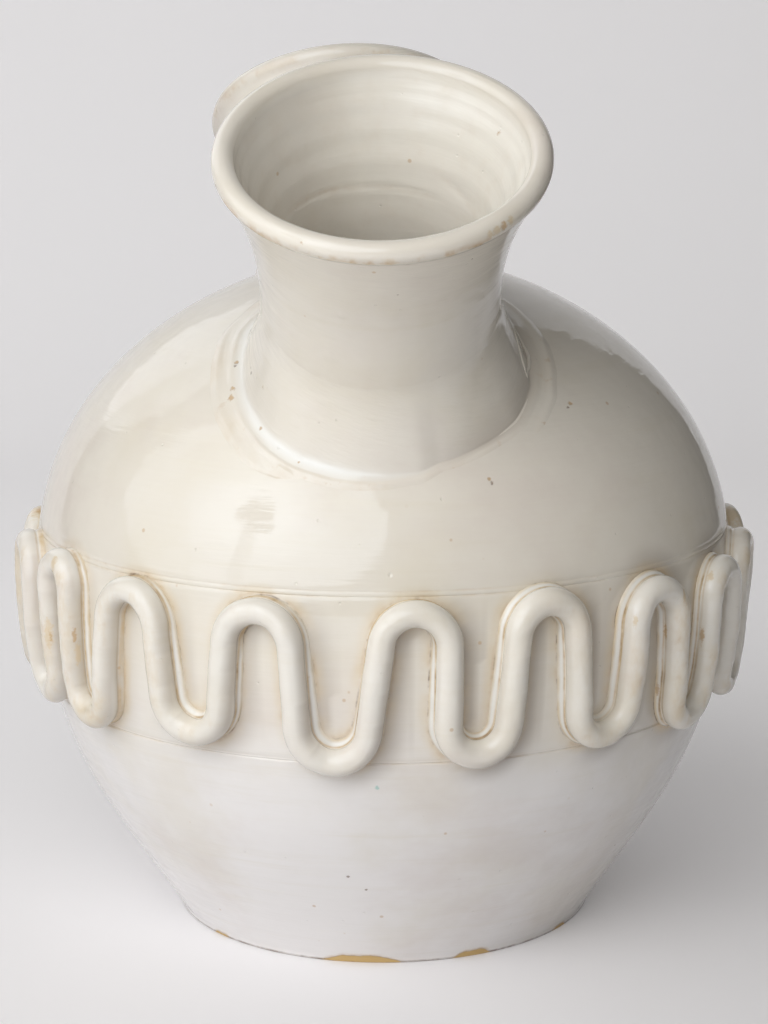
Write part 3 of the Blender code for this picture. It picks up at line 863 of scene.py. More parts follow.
def luting_section(axes, bearing, groove, rise, seed):
    """From the neck's wall out over the dome: the collar, the groove, a thin smear."""
    hand = noise_round(bearing, 1.6, seed)
    tool = noise_round(bearing, 5.0, seed + 3.0)
    reach, round_in = groove(bearing)
    reach *= 1.0 + FINGER_STRAY * tool
    rise *= 1.0 + HAND_STRAY * hand
    foot = over_dome(axes, bearing, SPOUT_RADIUS)
    corner = (SPOUT_RADIUS + reach, over_dome(axes, bearing, SPOUT_RADIUS + reach))
    top = (SPOUT_RADIUS - LUTING_SINK, foot + rise)
    bend = Vector((SPOUT_RADIUS + COLLAR_BEND[0] * reach, foot + COLLAR_BEND[1] * rise))
    slope = (Vector(corner) - bend).normalized()
    above = Vector(corner) - slope * round_in
    top_handle = (top[0], top[1] - COLLAR_TOP_HANDLE * rise)
    skin = curve_points(
        top, top_handle, above - slope * COLLAR_FOOT_HANDLE * rise, above, LUTING_POINTS
    )
    after = SPOUT_RADIUS + reach + 0.8 * round_in
    end = (after, over_dome(axes, bearing, after) + LUTING_SKIN)
    skin += curve_points(tuple(above), corner, corner, end, GROOVE_POINTS)[1:]
    wide = max(beside(bearing, -88.0, 60.0), beside(bearing, 100.0, 50.0))
    smear = SMEAR_LEAST + SMEAR_MORE * wide
    near_ridge = NEAR_RIDGE * (0.4 + 0.6 * beside(bearing, -70.0, 80.0) + 0.7 * tool)
    far_ridge = FAR_RIDGE * wide * (1.0 + 0.9 * tool)
    for i in range(1, SMEAR_POINTS + 1):
        away = smear * i / SMEAR_POINTS
        radius = after + away
        stand = LUTING_SKIN + near_ridge * math.sin(math.pi * min(1.0, away / 0.0026)) ** 2
        stand += far_ridge * bell(away - FAR_RIDGE_PLACE, 0.0013)
        stand -= 0.00035 * (i / SMEAR_POINTS) ** 3
        skin.append((radius, over_dome(axes, bearing, radius) + stand))
    halfway = SPOUT_RADIUS + reach / 2.0
    skin.append((halfway, over_dome(axes, bearing, halfway) - 0.0012))
    skin.append((SPOUT_RADIUS - 0.001, foot - 0.001))
    return skin


def front_groove(bearing):
    """How far out the groove lies round the front neck, and how wide it is rounded."""
    turn = math.degrees(bearing) % 360.0
    turns, reaches, rounds = zip(*FRONT_GROOVE)
    return float(np.interp(turn, turns, reaches)), float(np.interp(turn, turns, rounds))


def rear_groove(bearing):
    wander = noise_round(bearing, 1.8, 7.0)
    return 0.0072 * (1.0 + 0.22 * wander), 0.0026 + 0.0014 * wander


def luting_wear(tree, place, turned):
    """Tan where the drawn-out clay runs thin over the dome."""
    patchy = clouds(place, 60.0, 4.0, 0.6)
    fine = clouds(place, 190.0, 3.0, 0.6)
    edge = attribute_value(tree, "edge")
    smear = edge * ramp(patchy, 0.42, 0.68, 0.0, 0.16)
    smears = clouds(leaning(turned, 0.25), 200.0, 4.0, 0.6, (0.15, 0.15, 1.0))
    return {
        "ochre": smear * 0.8,
        "tan": smear + edge * ramp(fine, 0.62, 0.70, 0.0, 0.55),
        "relief": smears * 0.00030,
    }


LUTING_MARKS = (
    (-44.7, -62.7, 192.4, 0.8, THIN_TAN, 0.3), (-45.1, -64.0, 191.8, 0.6, IRON_BROWN, 0.3),
    (-39.2, -74.8, 192.6, 0.6, IRON_BROWN, 0.4), (-39.4, -76.0, 191.2, 0.5, IRON_BROWN, 0.4),
    (-34.9, -84.9, 188.3, 0.8, THIN_TAN, 0.3), (-33.4, -86.8, 188.3, 0.6, THIN_TAN, 0.2),
    (-45.5, -72.0, 185.9, 0.9, THIN_TAN, 0.2), (-46.0, -74.5, 183.5, 1.2, THIN_TAN, 0.1),
    (-36.5, -86.7, 176.2, 0.6, THIN_TAN, 0.1), (-24.9, -97.1, 167.8, 0.5, THIN_TAN, 0.1),
)
GROOVES = {"front_spout": front_groove, "rear_spout": rear_groove}
for seed, (spout_name, (axes, length)) in enumerate(SPOUTS.items()):
    columns = []
    for step in range(SPOUT_STEPS):
        bearing = 2.0 * math.pi * step / SPOUT_STEPS
        rise = LUTING_RISE[spout_name]
        section = luting_section(axes, bearing, GROOVES[spout_name], rise, 10.0 * seed)
        columns.append([at_bearing(radius, bearing, along) for radius, along in section])
    rings = list(zip(*columns))
    luting_mesh = turned_mesh(spout_name + "_luting", rings[::-1], wrap_rings=True)
    local = read_points(luting_mesh)
    index = np.repeat(np.arange(len(rings))[::-1], SPOUT_STEPS)
    smear_start = LUTING_POINTS + GROOVE_POINTS - 5.0
    edge = np.clip((index - smear_start) / (SMEAR_POINTS + 3.0), 0.0, 1.0)
    bearings = np.arctan2(local[:, 1], local[:, 0])
    luting_mesh.transform(axes)
    across, away, _ = read_points(luting_mesh).T
    above_groove = np.clip(1.0 - index / (LUTING_POINTS + GROOVE_POINTS - 1.0), 0.0, 1.0)
    sway_spout(luting_mesh, spout_name, bearings, above_groove)
    # A whiter band along the groove on the front left: a painted highlight.
    pooled = 0.9 * bell(index - LUTING_POINTS - 0.5 * GROOVE_POINTS, 3.0)
    pooled *= np.array([beside(b, -65.0, 85.0) for b in bearings])
    pooled *= np.interp(across, (-0.045, -0.015), (0.55, 1.0))
    # Painted shadow on the right of the front collar, below the burrs.
    lee = np.interp(across, (0.014, 0.030), (0.0, 0.42)) * (away < 0.0)
    lee *= np.clip(1.0 - np.abs(index - SHADE_MIDDLE) / SHADE_REACH, 0.0, 1.0)
    write_attributes(luting_mesh, pooled=pooled, lee=lee, turned=local, edge=edge)
    shade_smooth(luting_mesh, 60)
    if spout_name == "front_spout":
        marks = on_skin(luting_mesh, LUTING_MARKS)
        luting_glaze = tin_glaze("luting_glaze", MILK_WHITE, MILK_WHITE, marks, luting_wear)
        collar_skin = BVHTree.FromPolygons(
            [v.co for v in luting_mesh.vertices], [tuple(p.vertices) for p in luting_mesh.polygons]
        )
    luting_mesh.materials.append(luting_glaze)
    luting = add_object(spout_name + "_luting", luting_mesh)
    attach(luting, "root")
    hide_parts(spout_name + "_fillet")

# Two burrs of clay left standing on the right of the front neck, where the finger
# turned: points along each, and how thick it is there.
BURRS = (
    (
        ((0.0375, -0.0335, 0.2085), (0.0391, -0.0450, 0.2036), (0.0424, -0.0545, 0.1982),
         (0.0449, -0.0598, 0.1942), (0.0450, -0.0655, 0.1912), (0.0440, -0.0708, 0.1888)),
        (0.0002, 0.0005, 0.0007, 0.0009, 0.0009, 0.0003),
    ),
    (
        ((0.0372, -0.0440, 0.2090), (0.0376, -0.0560, 0.2050), (0.0388, -0.0655, 0.2005),
         (0.0408, -0.0680, 0.1965), (0.0424, -0.0700, 0.1927), (0.0439, -0.0710, 0.1890)),
        (0.0001, 0.0004, 0.0006, 0.0007, 0.0007, 0.0003),
    ),
)
BURR_STEPS = 60
BURR_SIDES = 14
BURR_SMOOTHING = 12
burr_points, burr_faces = [], []
for path, thicknesses in BURRS:
    at = np.linspace(0.0, len(path) - 1.0, BURR_STEPS)
    knots = np.array(path)
    line = np.stack([np.interp(at, range(len(path)), knots[:, axis]) for axis in range(3)], 1)
    for smoothing in range(BURR_SMOOTHING):
        line[1:-1] = (line[:-2] + 2.0 * line[1:-1] + line[2:]) / 4.0
    thickness = np.interp(at, range(len(path)), thicknesses)
    seats = [collar_skin.find_nearest(Vector(point)) for point in line]
    rings = [[tuple(seats[0][0])]]
    for place in range(BURR_STEPS):
        heading = seats[min(place + 1, BURR_STEPS - 1)][0] - seats[max(place - 1, 0)][0]
        middle, out = seats[place][0], seats[place][1]
        side = heading.cross(out).normalized()
        size = float(thickness[place])
        ring = []
        for step in range(BURR_SIDES):
            angle = 2.0 * math.pi * step / BURR_SIDES
            lean = side * (math.cos(angle) * 0.8 * size) + out * (math.sin(angle) * size)
            ring.append(tuple(middle + out * 0.4 * size + lean))
        rings.append(ring)
    rings.append([tuple(seats[-1][0])])
    one = turned_mesh("burr", rings)
    burr_faces += [tuple(v + len(burr_points) for v in face.vertices) for face in one.polygons]
    burr_points += [tuple(v.co) for v in one.vertices]
    bpy.data.meshes.remove(one)
burr_mesh = plain_mesh("luting_burrs", burr_points, faces=burr_faces)
write_attributes(burr_mesh, turned=burr_points)
shade_smooth(burr_mesh, 60)
burr_mesh.materials.append(luting_glaze)
burrs = add_object("luting_burrs", burr_mesh)
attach(burrs, "root")

# Rope
# Lengths of clay rolled on the bench, laid on the wet wall in waves between the guide
# lines and pressed down along their edges, which spreads a thin shelf on either side.
# The glaze has drained off the ridges and pooled in the corners.
ROPE_RADIUS = 0.0041
ROPE_EDGE = 0.0044
ROPE_STAND = 0.0036
WAVE_COUNT = 18
FIRST_CREST_BEARING = -85.0
TURN_SHARE = 0.46
ARC_STEPS = 24
LEG_STEPS = 20
HALF_WAVE_STEPS = ARC_STEPS + LEG_STEPS
SHELF_SMOOTHING = 40
# The section: how far its round top goes down each side, and the steps it is made in.
ROPE_CORNER = math.radians(119)
TOP_STEPS = 13
SHELF_STEPS = 7
SHELF_SINK = 0.0005
ROPE_SINK = 0.0013
LINE_STEP = 0.0012
HAND_WAVER = 0.0007
FINGER_MARKS = 0.00030
# How far the hand strayed at each crest and the trough after it, from the front
# towards +X: sideways as a share of one wave, and upwards in metres.
CREST_DRIFT = (
    (-0.02, 0.0001), (-0.03, 0.0011), (-0.01, -0.0009), (-0.04, -0.0020), (-0.25, 0.0),
    (-0.35, 0.0005), (-0.32, 0.0), (-0.30, -0.0010), (-0.26, 0.0008), (-0.24, 0.0),
    (-0.22, -0.0008), (-0.21, 0.0004), (-0.20, 0.0010), (-0.20, 0.0), (-0.08, 0.0018),
    (-0.16, 0.0030), (-0.26, 0.0009), (-0.17, -0.0003),
)
TROUGH_DRIFT = (
    (-0.05, -0.0004), (-0.01, 0.0003), (0.0, -0.0022), (-0.12, -0.0002), (-0.22, 0.0005),
    (-0.33, -0.0006), (-0.31, 0.0008), (-0.28, 0.0), (-0.25, -0.0010), (-0.23, 0.0006),
    (-0.22, 0.0), (-0.20, -0.0004), (-0.20, 0.0006), (-0.22, 0.0003), (-0.06, 0.0015),
    (-0.31, 0.0008), (-0.22, 0.0034), (-0.12, -0.0023),
)


def rope_route():
    """The rope's middle line unrolled off the pot: arcs joined by crossed tangents."""
    wave = 2.0 * math.pi * (BELLY_RADIUS + ROPE_STAND) / WAVE_COUNT
    start = wave * WAVE_COUNT * FIRST_CREST_BEARING / 360.0
    turns = []
    for index in range(WAVE_COUNT):
        (crest_on, crest_up), (trough_on, trough_up) = CREST_DRIFT[index], TROUGH_DRIFT[index]
        crest = GUIDE_LINES[0][0] - ROPE_EDGE + crest_up
        trough = GUIDE_LINES[2][0] + ROPE_EDGE + trough_up
        turns.append((start + (index + crest_on) * wave, crest, 1))
        turns.append((start + (index + 0.5 + trough_on) * wave, trough, -1))
    count = len(turns)
    around = wave * WAVE_COUNT

    def arc(index):
        lap, place = divmod(index, count)
        along, up, side = turns[place]
        before = turns[place - 1][0] - (around if place == 0 else 0.0)
        after = turns[(place + 1) % count][0] + (around if place == count - 1 else 0.0)
        radius = TURN_SHARE * (after - before) / 2.0
        return Vector((along + around * lap, up - side * radius)), radius, side

    def left_of(heading):
        return Vector((-math.sin(heading), math.cos(heading)))

    def heading_after(index):
        centre, radius, side = arc(index)
        next_centre, next_radius, _ = arc(index + 1)
        line = next_centre - centre
        swing = math.asin(min((radius + next_radius) / line.length, 1.0))
        return math.atan2(line.y, line.x) - side * swing

    route = []
    for index in range(count):
        centre, radius, side = arc(index)
        enter, leave = heading_after(index - 1), heading_after(index)
        for step in range(ARC_STEPS + 1):
            heading = enter + (leave - enter) * step / ARC_STEPS
            route.append(centre + left_of(heading) * radius * side)
        leg_start = route[-1]
        centre, radius, side = arc(index + 1)
        leg_end = centre + left_of(leave) * radius * side
        route += [leg_start.lerp(leg_end, step / LEG_STEPS) for step in range(1, LEG_STEPS)]
    return route


route = rope_route()
route_bearings = np.array([p.x for p in route]) / (BELLY_RADIUS + ROPE_STAND)
route_heights = np.array([p.y for p in route])


def on_route(across, up):
    return np.stack([np.cos(route_bearings) * across, np.sin(route_bearings) * across, up], 1)


route_out = on_route(*wall_out(route_heights))
route_feet = on_route(wall_radius(route_heights), route_heights)


def shelf_widths(bearings, heights, seed, least, most):
    values = [noise_round(b, 3.2, 16.0 * height + seed) for b, height in zip(bearings, heights)]
    share = np.clip(0.5 + 1.3 * np.array(values), 0.0, 1.0)
    return least + (most - least) * share ** 1.5


# How wide the shelf is, in tenths of a millimetre, to the left and right of the rope
# on its way round: at the crest, on the fall after it, in the trough, and on the rise.
SHELVES = {
    14: (6, 8, 16, 5, 14, 6, 5, 9),
    15: (5, 5, 20, 5, 20, 5, 5, 8),
    16: (5, 5, 23, 4, 22, 7, 5, 17),
    17: (5, 4, 24, 5, 25, 13, 7, 6),
    0: (4, 5, 4, 22, 17, 15, 19, 5),
    1: (16, 5, 4, 23, 18, 11, 18, 5),
    2: (19, 8, 5, 19, 13, 9, 17, 5),
    3: (12, 6, 8, 12, 12, 12, 14, 6),
}
shelf_left = shelf_widths(route_bearings, route_heights, 3.0, 0.0005, 0.0024)
shelf_right = shelf_widths(route_bearings, route_heights, 8.0, 0.0004, 0.0020)
stations = np.array((ARC_STEPS // 2, ARC_STEPS + LEG_STEPS // 2))
stations = np.append(stations, stations + HALF_WAVE_STEPS)
span = np.arange(2 * HALF_WAVE_STEPS)
for wave, widths in SHELVES.items():
    for side, shelf in enumerate((shelf_left, shelf_right)):
        here = np.interp(span, stations, np.array(widths[side::2]) / 10000.0)
        shelf[span + wave * len(span)] = here
for smoothing in range(SHELF_SMOOTHING):
    for widths in (shelf_left, shelf_right):
        widths[:] = (np.roll(widths, 1) + widths + np.roll(widths, -1)) / 3.0


def closed_line(name, points, **attributes):
    edges = [(i, (i + 1) % len(points)) for i in range(len(points))]
    mesh = plain_mesh(name, points, edges)
    write_attributes(mesh, **attributes)
    return add_object(name, mesh)


def rope_section():
    """Round top, a corner at each side, a shelf beyond it, and a sunk underside.

    Each point is (across, over the wall, share of the shelf's width that it moves by).
    """
    round_top = [ROPE_CORNER * (i / TOP_STEPS - 1.0) for i in range(2 * TOP_STEPS + 1)]
    points = [
        (ROPE_RADIUS * math.sin(a), ROPE_STAND + ROPE_RADIUS * math.cos(a), 0.0) for a in round_top
    ]
    side, height, _ = points[-1]
    shelf = []
    for i in range(1, SHELF_STEPS + 1):
        angle = math.pi / 2.0 * i / SHELF_STEPS
        fall = height * (1.0 - 0.25 * math.sin(angle)) * math.cos(angle) ** 0.7
        shelf.append((side, fall - SHELF_SINK * math.sin(angle), math.sin(angle)))
    left = [(-x, z, -share) for x, z, share in reversed(shelf)]
    under = [(0.6 * side, -0.0011, 0.0), (0.0, -ROPE_SINK, 0.0), (-0.6 * side, -0.0011, 0.0)]
    return left + points + shelf + under


section = rope_section()
section_points = [(x, z, 0.0) for x, z, share in section]
shelf_share = [share for x, z, share in section]
rope_profile = closed_line("rope_profile", section_points, shelf_share=shelf_share)
rope = closed_line(
    "rope_line", route_feet, out=route_out, shelf_left=shelf_left, shelf_right=shelf_right
)


def rope_wear(tree, place, turned):
    """Tan on the rope's ridge and in the corners of its shelves."""
    patchy = clouds(place, 85.0, 3.0, 0.6)
    fine = clouds(place, 230.0, 3.0, 0.6)
    drawn = clouds(place, 60.0, 5.0, 0.7, (1.0, 1.0, 0.45))
    across = attribute_value(tree, "across")
    over = attribute_value(tree, "over")
    ridge = ramp(over, 0.0042, 0.0078, 0.25, 1.0) * ramp(drawn, 0.42, 0.66, 0.10, 1.0)
    ridge = ridge * ramp(abs(place.parts()[0]), 0.035, 0.095, 0.12, 0.70)
    corner = band(abs(across), 0.00395, 0.00045) * ramp(over, 0.0018, 0.0028, 1.0, 0.0)
    corner = corner * ramp(patchy, 0.34, 0.60, 0.25, 0.95)
    foot = ramp(over, 0.0001, 0.0010, 0.8, 0.0) * ramp(patchy, 0.35, 0.65, 0.3, 1.0)
    return {
        "ochre": ridge + corner + foot,
        "tan": ridge * ramp(fine, 0.52, 0.68, 0.0, 0.60) + corner * 0.45,
        "iron": corner * ramp(patchy, 0.45, 0.68, 0.0, 0.60),
    }


# Where the glaze ran thin and tan, on the far crests and on single legs.
ROPE_MARKS = (
    (-117.0, 14.1, 132.0, 4.2, OCHRE, 0.0), (-116.5, 14.1, 131.2, 1.6, THIN_TAN, 0.0),
    (-105.2, -59.5, 106.0, 1.7, OCHRE, 0.0), (-104.7, -60.4, 104.5, 1.0, THIN_TAN, 0.0),
    (-95.6, -71.6, 108.5, 0.8, THIN_TAN, 0.0), (-94.8, -70.8, 102.5, 1.2, OCHRE, 0.0),
    (-102.0, -67.0, 131.1, 1.4, OCHRE, 0.0), (86.4, -78.5, 111.0, 0.8, THIN_TAN, 0.0),
    (84.6, -75.9, 92.0, 0.7, THIN_TAN, 0.0), (91.7, -81.3, 123.1, 0.8, OCHRE, 0.0),
    (75.6, -94.5, 118.7, 0.7, OCHRE, 0.0), (102.2, -59.9, 124.3, 1.2, OCHRE, 0.0),
    (99.6, -62.4, 105.5, 0.9, THIN_TAN, 0.0), (117.2, 10.0, 129.0, 4.5, OCHRE, 0.0),
)
ROPE_SQUASH = (1.0, 1.0, 0.3)
rope_marks = in_metres(ROPE_MARKS)
rope_glaze = tin_glaze("rope_glaze", ROPE_WHITE, ROPE_WHITE, rope_marks, rope_wear, ROPE_SQUASH)


def laid_rope_tree():
    """Sweeps the section along the line, standing out from the pot's wall."""
    tree = bpy.data.node_groups.new("laid_rope", "GeometryNodeTree")
    sockets = (
        ("Line", "Geometry"), ("Section", "Object"), ("Step Length", "Float"),
        ("Hand Waver", "Float"), ("Finger Marks", "Float"), ("Material", "Material"),
    )
    for name, kind in sockets:
        tree.interface.new_socket(name, in_out="INPUT", socket_type="NodeSocket" + kind)
    tree.interface.new_socket("Rope", in_out="OUTPUT", socket_type="NodeSocketGeometry")
    group = tree.nodes.new("NodeGroupInput")
    given = {socket.name: Value(tree, socket) for socket in group.outputs}

    def geo(kind, inputs=(), output=0, **settings):
        return node_value(tree, "GeometryNode" + kind, inputs, output, **settings)

    def named(name, kind):
        return geo("InputNamedAttribute", {"Name": name}, "Attribute", data_type=kind)

    def captured(source, values):
        capture = add_node(tree, "GeometryNodeCaptureAttribute", {0: source}, domain="POINT")
        for index, (name, kind, value) in enumerate(values):
            capture.capture_items.new(kind, name)
            tree.links.new(value.socket, capture.inputs[index + 1])
        return [Value(tree, socket) for socket in capture.outputs[:len(values) + 1]]

    line = geo("MeshToCurve", {"Mesh": given["Line"]})
    line = geo("ResampleCurve", {"Curve": line, "Length": given["Step Length"]}, mode="LENGTH")
    line, middle, heading, out, left, right = captured(line, (
        ("middle", "VECTOR", geo("InputPosition")),
        ("heading", "VECTOR", geo("InputTangent")),
        ("out", "VECTOR", named("out", "FLOAT_VECTOR")),
        ("left", "FLOAT", named("shelf_left", "FLOAT")),
        ("right", "FLOAT", named("shelf_right", "FLOAT")),
    ))
    profile = geo("ObjectInfo", {"Object": given["Section"]}, "Geometry")
    profile, point, share = captured(geo("MeshToCurve", {"Mesh": profile}), (
        ("point", "VECTOR", geo("InputPosition")),
        ("share", "FLOAT", named("shelf_share", "FLOAT")),
    ))
    skin = geo("CurveToMesh", {"Curve": line, "Profile Curve": profile})

    point_across, point_over, _ = point.parts()
    size = spread_noise(middle, 42.0, 2.0) * given["Hand Waver"] / ROPE_RADIUS + 1.0
    is_left = share.maths("LESS_THAN", 0.0)
    shelf = node_value(tree, "ShaderNodeMix", {0: is_left, 2: right, 3: left})
    across = point_across * size + share * shelf
    is_over = point_over.maths("GREATER_THAN", 0.002)
    over = point_over * node_value(tree, "ShaderNodeMix", {0: is_over, 2: 1.0, 3: size})
    to_right = heading.vector("CROSS_PRODUCT", out).vector("NORMALIZE")
    place = middle.vector("ADD", to_right.vector("SCALE", scale=across))
    place = place.vector("ADD", out.vector("SCALE", scale=over))
    pressed = spread_noise(place, 190.0, 4.0) * given["Finger Marks"]
    place = place.vector("ADD", out.vector("SCALE", scale=pressed))
    skin = geo("SetPosition", {"Geometry": skin, "Position": place})
    for name, value in (("across", across), ("over", over)):
        inputs = {"Geometry": skin, "Name": name, "Value": value}
        skin = geo("StoreNamedAttribute", inputs, data_type="FLOAT", domain="POINT")
    skin = geo("RealizeInstances", {"Geometry": skin})
    skin = geo("SetMaterial", {"Geometry": skin, "Material": given["Material"]})
    tree.links.new(skin.socket, tree.nodes.new("NodeGroupOutput").inputs[0])
    return tree


def spread_noise(vector, scale, detail):
    """Noise from about -1 to 1."""
    return (clouds(vector, scale, detail) - 0.5) * 2.0


def run_nodes(piece, tree, values):
    """Give the piece the tree, set its inputs by identifier, and keep the mesh it makes."""
    modifier = piece.modifiers.new(tree.name, "NODES")
    modifier.node_group = tree
    for item in tree.interface.items_tree:
        if item.in_out == "INPUT" and item.name in values:
            modifier[item.identifier] = values[item.name]
    flat_result(piece)


# The way into the painted shade beside the rope, turned from the umbrella: round the pot, and
# upwards.
SHADE_AROUND = 0.88
SHADE_UP = -0.47

tree_of_feet = kdtree.KDTree(len(route))
for index, foot in enumerate(route_feet):
    tree_of_feet.insert(foot, index)
tree_of_feet.balance()


def from_route(point):
    """Nearest step of the rope's line, the way there, and how far it leads into the painted shade.
    """
    foot, near, away = tree_of_feet.find(point)
    offset = Vector(point) - foot
    bearing = route_bearings[near]
    shade_side = Vector((-SHADE_AROUND * math.sin(bearing), SHADE_AROUND * math.cos(bearing), SHADE_UP))
    return near, offset, offset.dot(shade_side)


rope.name = "wave_rope"
run_nodes(rope, laid_rope_tree(), {
    "Section": rope_profile,
    "Step Length": LINE_STEP,
    "Hand Waver": HAND_WAVER,
    "Finger Marks": FINGER_MARKS,
    "Material": rope_glaze,
})
bpy.data.objects.remove(rope_profile, do_unlink=True)
rope_points = read_points(rope.data)
across = np.zeros(len(rope_points))
over = np.zeros(len(rope_points))
rope.data.attributes["across"].data.foreach_get("value", across)
rope.data.attributes["over"].data.foreach_get("value", over)
beyond = np.clip((np.abs(across) - ROPE_RADIUS) / 0.0006, 0.0, 1.0)
pooled = 0.6 * beyond * np.clip(over / 0.0008, 0.0, 1.0)
# Painted shade on the side of each leg turned from the umbrella, deeper towards +X.
lee = np.array([from_route(point)[2] for point in rope_points]) / ROPE_RADIUS
lee = np.clip((lee - 0.30) / 0.65, 0.0, 1.0) * (1.0 - beyond)
lee *= np.interp(rope_points[:, 0], (-0.10, 0.0, 0.10), (0.30, 0.50, 0.60))
write_attributes(rope.data, turned=rope_points, pooled=pooled, lee=lee)
shade_smooth(rope.data, 75)
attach(rope, "root")
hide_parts(*["wave_rope_%d" % (number + 1) for number in range(6)])

# The glaze on the belly knows how far it is from the rope's edge and from the luting,
# and where a painted shade lies beside the rope.
ROPE_HALF_WIDTH = 0.0038
FAR_FROM_ROPE = 0.02
FAR_FROM_LUTING = 0.03
UNDER_SPOUT = -0.045
ROPE_ZONE = (0.06, 0.155)
OUTER_SKIN = BELLY_RADIUS - 0.012

belly_points = read_points(belly_mesh)
rope_gap = np.full(len(belly_points), FAR_FROM_ROPE)
lee = np.zeros(len(belly_points))
for index, point in enumerate(belly_points):
    in_zone = ROPE_ZONE[0] < point[2] < ROPE_ZONE[1]
    if in_zone and math.hypot(point[0], point[1]) > OUTER_SKIN:
        near, offset, into_shade = from_route(point)
        ahead = Vector(route_feet[(near + 1) % len(route)]) - Vector(route_feet[near])
        ahead.normalize()
        away = (offset - ahead * offset.dot(ahead)).length
        lee[index] = max(0.0, into_shade / max(offset.length, 0.001))
        side = ahead.cross(Vector(route_out[near])).dot(offset)
        shelf = shelf_right[near] if side > 0.0 else shelf_left[near]
        rope_gap[index] = min(away - (ROPE_HALF_WIDTH + shelf), FAR_FROM_ROPE)
# Painted shade, deeper towards +X and spread over the band on the right of the pot.
lee *= np.interp(belly_points[:, 0], (-0.10, -0.03, 0.03, 0.10), (0.10, 0.36, 0.68, 0.80))
lee = np.maximum(lee, np.interp(belly_points[:, 0], (0.05, 0.09), (0.0, 0.45)))
lee *= rope_gap < 0.015
luting_gap = np.full(len(belly_points), FAR_FROM_LUTING)
for axes, length in SPOUTS.values():
    local = np.array(axes.inverted()) @ np.hstack([belly_points, np.ones((len(belly_points), 1))]).T
    from_axis = np.hypot(local[0], local[1]) - (SPOUT_RADIUS + LUTING_REACH)
    from_axis[local[2] < UNDER_SPOUT] = FAR_FROM_LUTING
    luting_gap = np.minimum(luting_gap, np.abs(from_axis))
write_attributes(belly_mesh, rope_gap=rope_gap, lee=lee, luting_gap=luting_gap)

# Table and backdrop
# A pale sweep of card, flat under the pot and curved up behind it, and round it a wide
# floor that only the camera sees.
SWEEP_LEFT = -1.2
SWEEP_RIGHT = 0.36
SWEEP_FRONT = -1.1
SWEEP_BACK = 0.75
SWEEP_TOP = 1.6
SWEEP_BEND = 0.30
BEND_STEPS = 12
FLOOR_REACH = 7.0
FLOOR_DROP = 0.0004

sweep_line = [(SWEEP_FRONT, 0.0), (SWEEP_BACK, 0.0)]
for step in range(1, BEND_STEPS + 1):
    angle = math.pi / 2.0 * step / BEND_STEPS
    rise = SWEEP_BEND * (1.0 - math.cos(angle))
    sweep_line.append((SWEEP_BACK + SWEEP_BEND * math.sin(angle), rise))
sweep_line.append((SWEEP_BACK + SWEEP_BEND, SWEEP_TOP))
sweep_points = []
for y, z in sweep_line:
    right_edge = SWEEP_RIGHT + 0.30 * min(1.0, max(0.0, (y - 0.15) / 0.6))
    sweep_points += [(SWEEP_LEFT, y, z), (right_edge, y, z)]
firsts = range(0, len(sweep_points) - 2, 2)
sweep_faces = [(first, first + 1, first + 3, first + 2) for first in firsts]
sweep_mesh = plain_mesh("sweep", sweep_points, faces=sweep_faces)
sweep_mesh.shade_smooth()
sweep = add_object("sweep", sweep_mesh)
ends = (-FLOOR_REACH, FLOOR_REACH)
corners = [(x, y, -FLOOR_DROP) for x in ends for y in ends]
far_mesh = plain_mesh("far_floor", corners, faces=[(0, 2, 3, 1)])
write_attributes(far_mesh, far=[1.0] * 4)
far_floor = add_object("far_floor", far_mesh)
# For the camera and in reflections the card gets paler to the back and far out, and
# the upright card is not there for a camera that stands behind it.
card = bpy.data.materials.new("pale_card")
card.use_nodes = True
card_tree = card.node_tree
card_shader = card_tree.nodes["Principled BSDF"]
card_look = {"Base Color": (0.82, 0.806, 0.812, 1.0), "Roughness": 0.9, "Specular IOR Level": 0.1}
set_inputs(card_tree, card_shader, card_look)
card_place = node_value(card_tree, "ShaderNodeTexCoord", (), "Object")
for_camera = node_value(card_tree, "ShaderNodeLightPath", (), "Is Camera Ray")
for_gloss = node_value(card_tree, "ShaderNodeLightPath", (), "Is Glossy Ray")
far_back = ramp(card_place.parts()[1], -0.25, 0.45, 0.075, 0.285)
far_out = ramp(card_place.vector("LENGTH"), 0.8, 2.4, 0.0, 0.46)
far_out = far_out * attribute_value(card_tree, "far")
lifted = (far_back + far_out) * for_camera.maths("MAXIMUM", for_gloss)
glow_inputs = {0: (1.0, 0.985, 0.993, 1.0), "Strength": lifted}
card_glow = node_value(card_tree, "ShaderNodeEmission", glow_inputs)
lit_card = Value(card_tree, card_shader.outputs[0])
lit_card = node_value(card_tree, "ShaderNodeAddShader", {0: lit_card, 1: card_glow})
behind = node_value(card_tree, "ShaderNodeNewGeometry", (), "Backfacing") * for_camera
clear = node_value(card_tree, "ShaderNodeBsdfTransparent")
card_mix = node_value(card_tree, "ShaderNodeMixShader", {0: behind, 1: lit_card, 2: clear})
set_inputs(card_tree, card_tree.nodes["Material Output"], {"Surface": card_mix})
sweep_mesh.materials.append(card)
far_mesh.materials.append(card)
for kind in ("diffuse", "glossy", "transmission", "shadow"):
    setattr(far_floor, "visible_" + kind, False)

# Light
# One large umbrella to the left of the camera, a softer screen nearer to it, a weak
# fill from behind on the left, and a dim room.
MIDDLE = Vector((0.0, 0.0, 0.13))


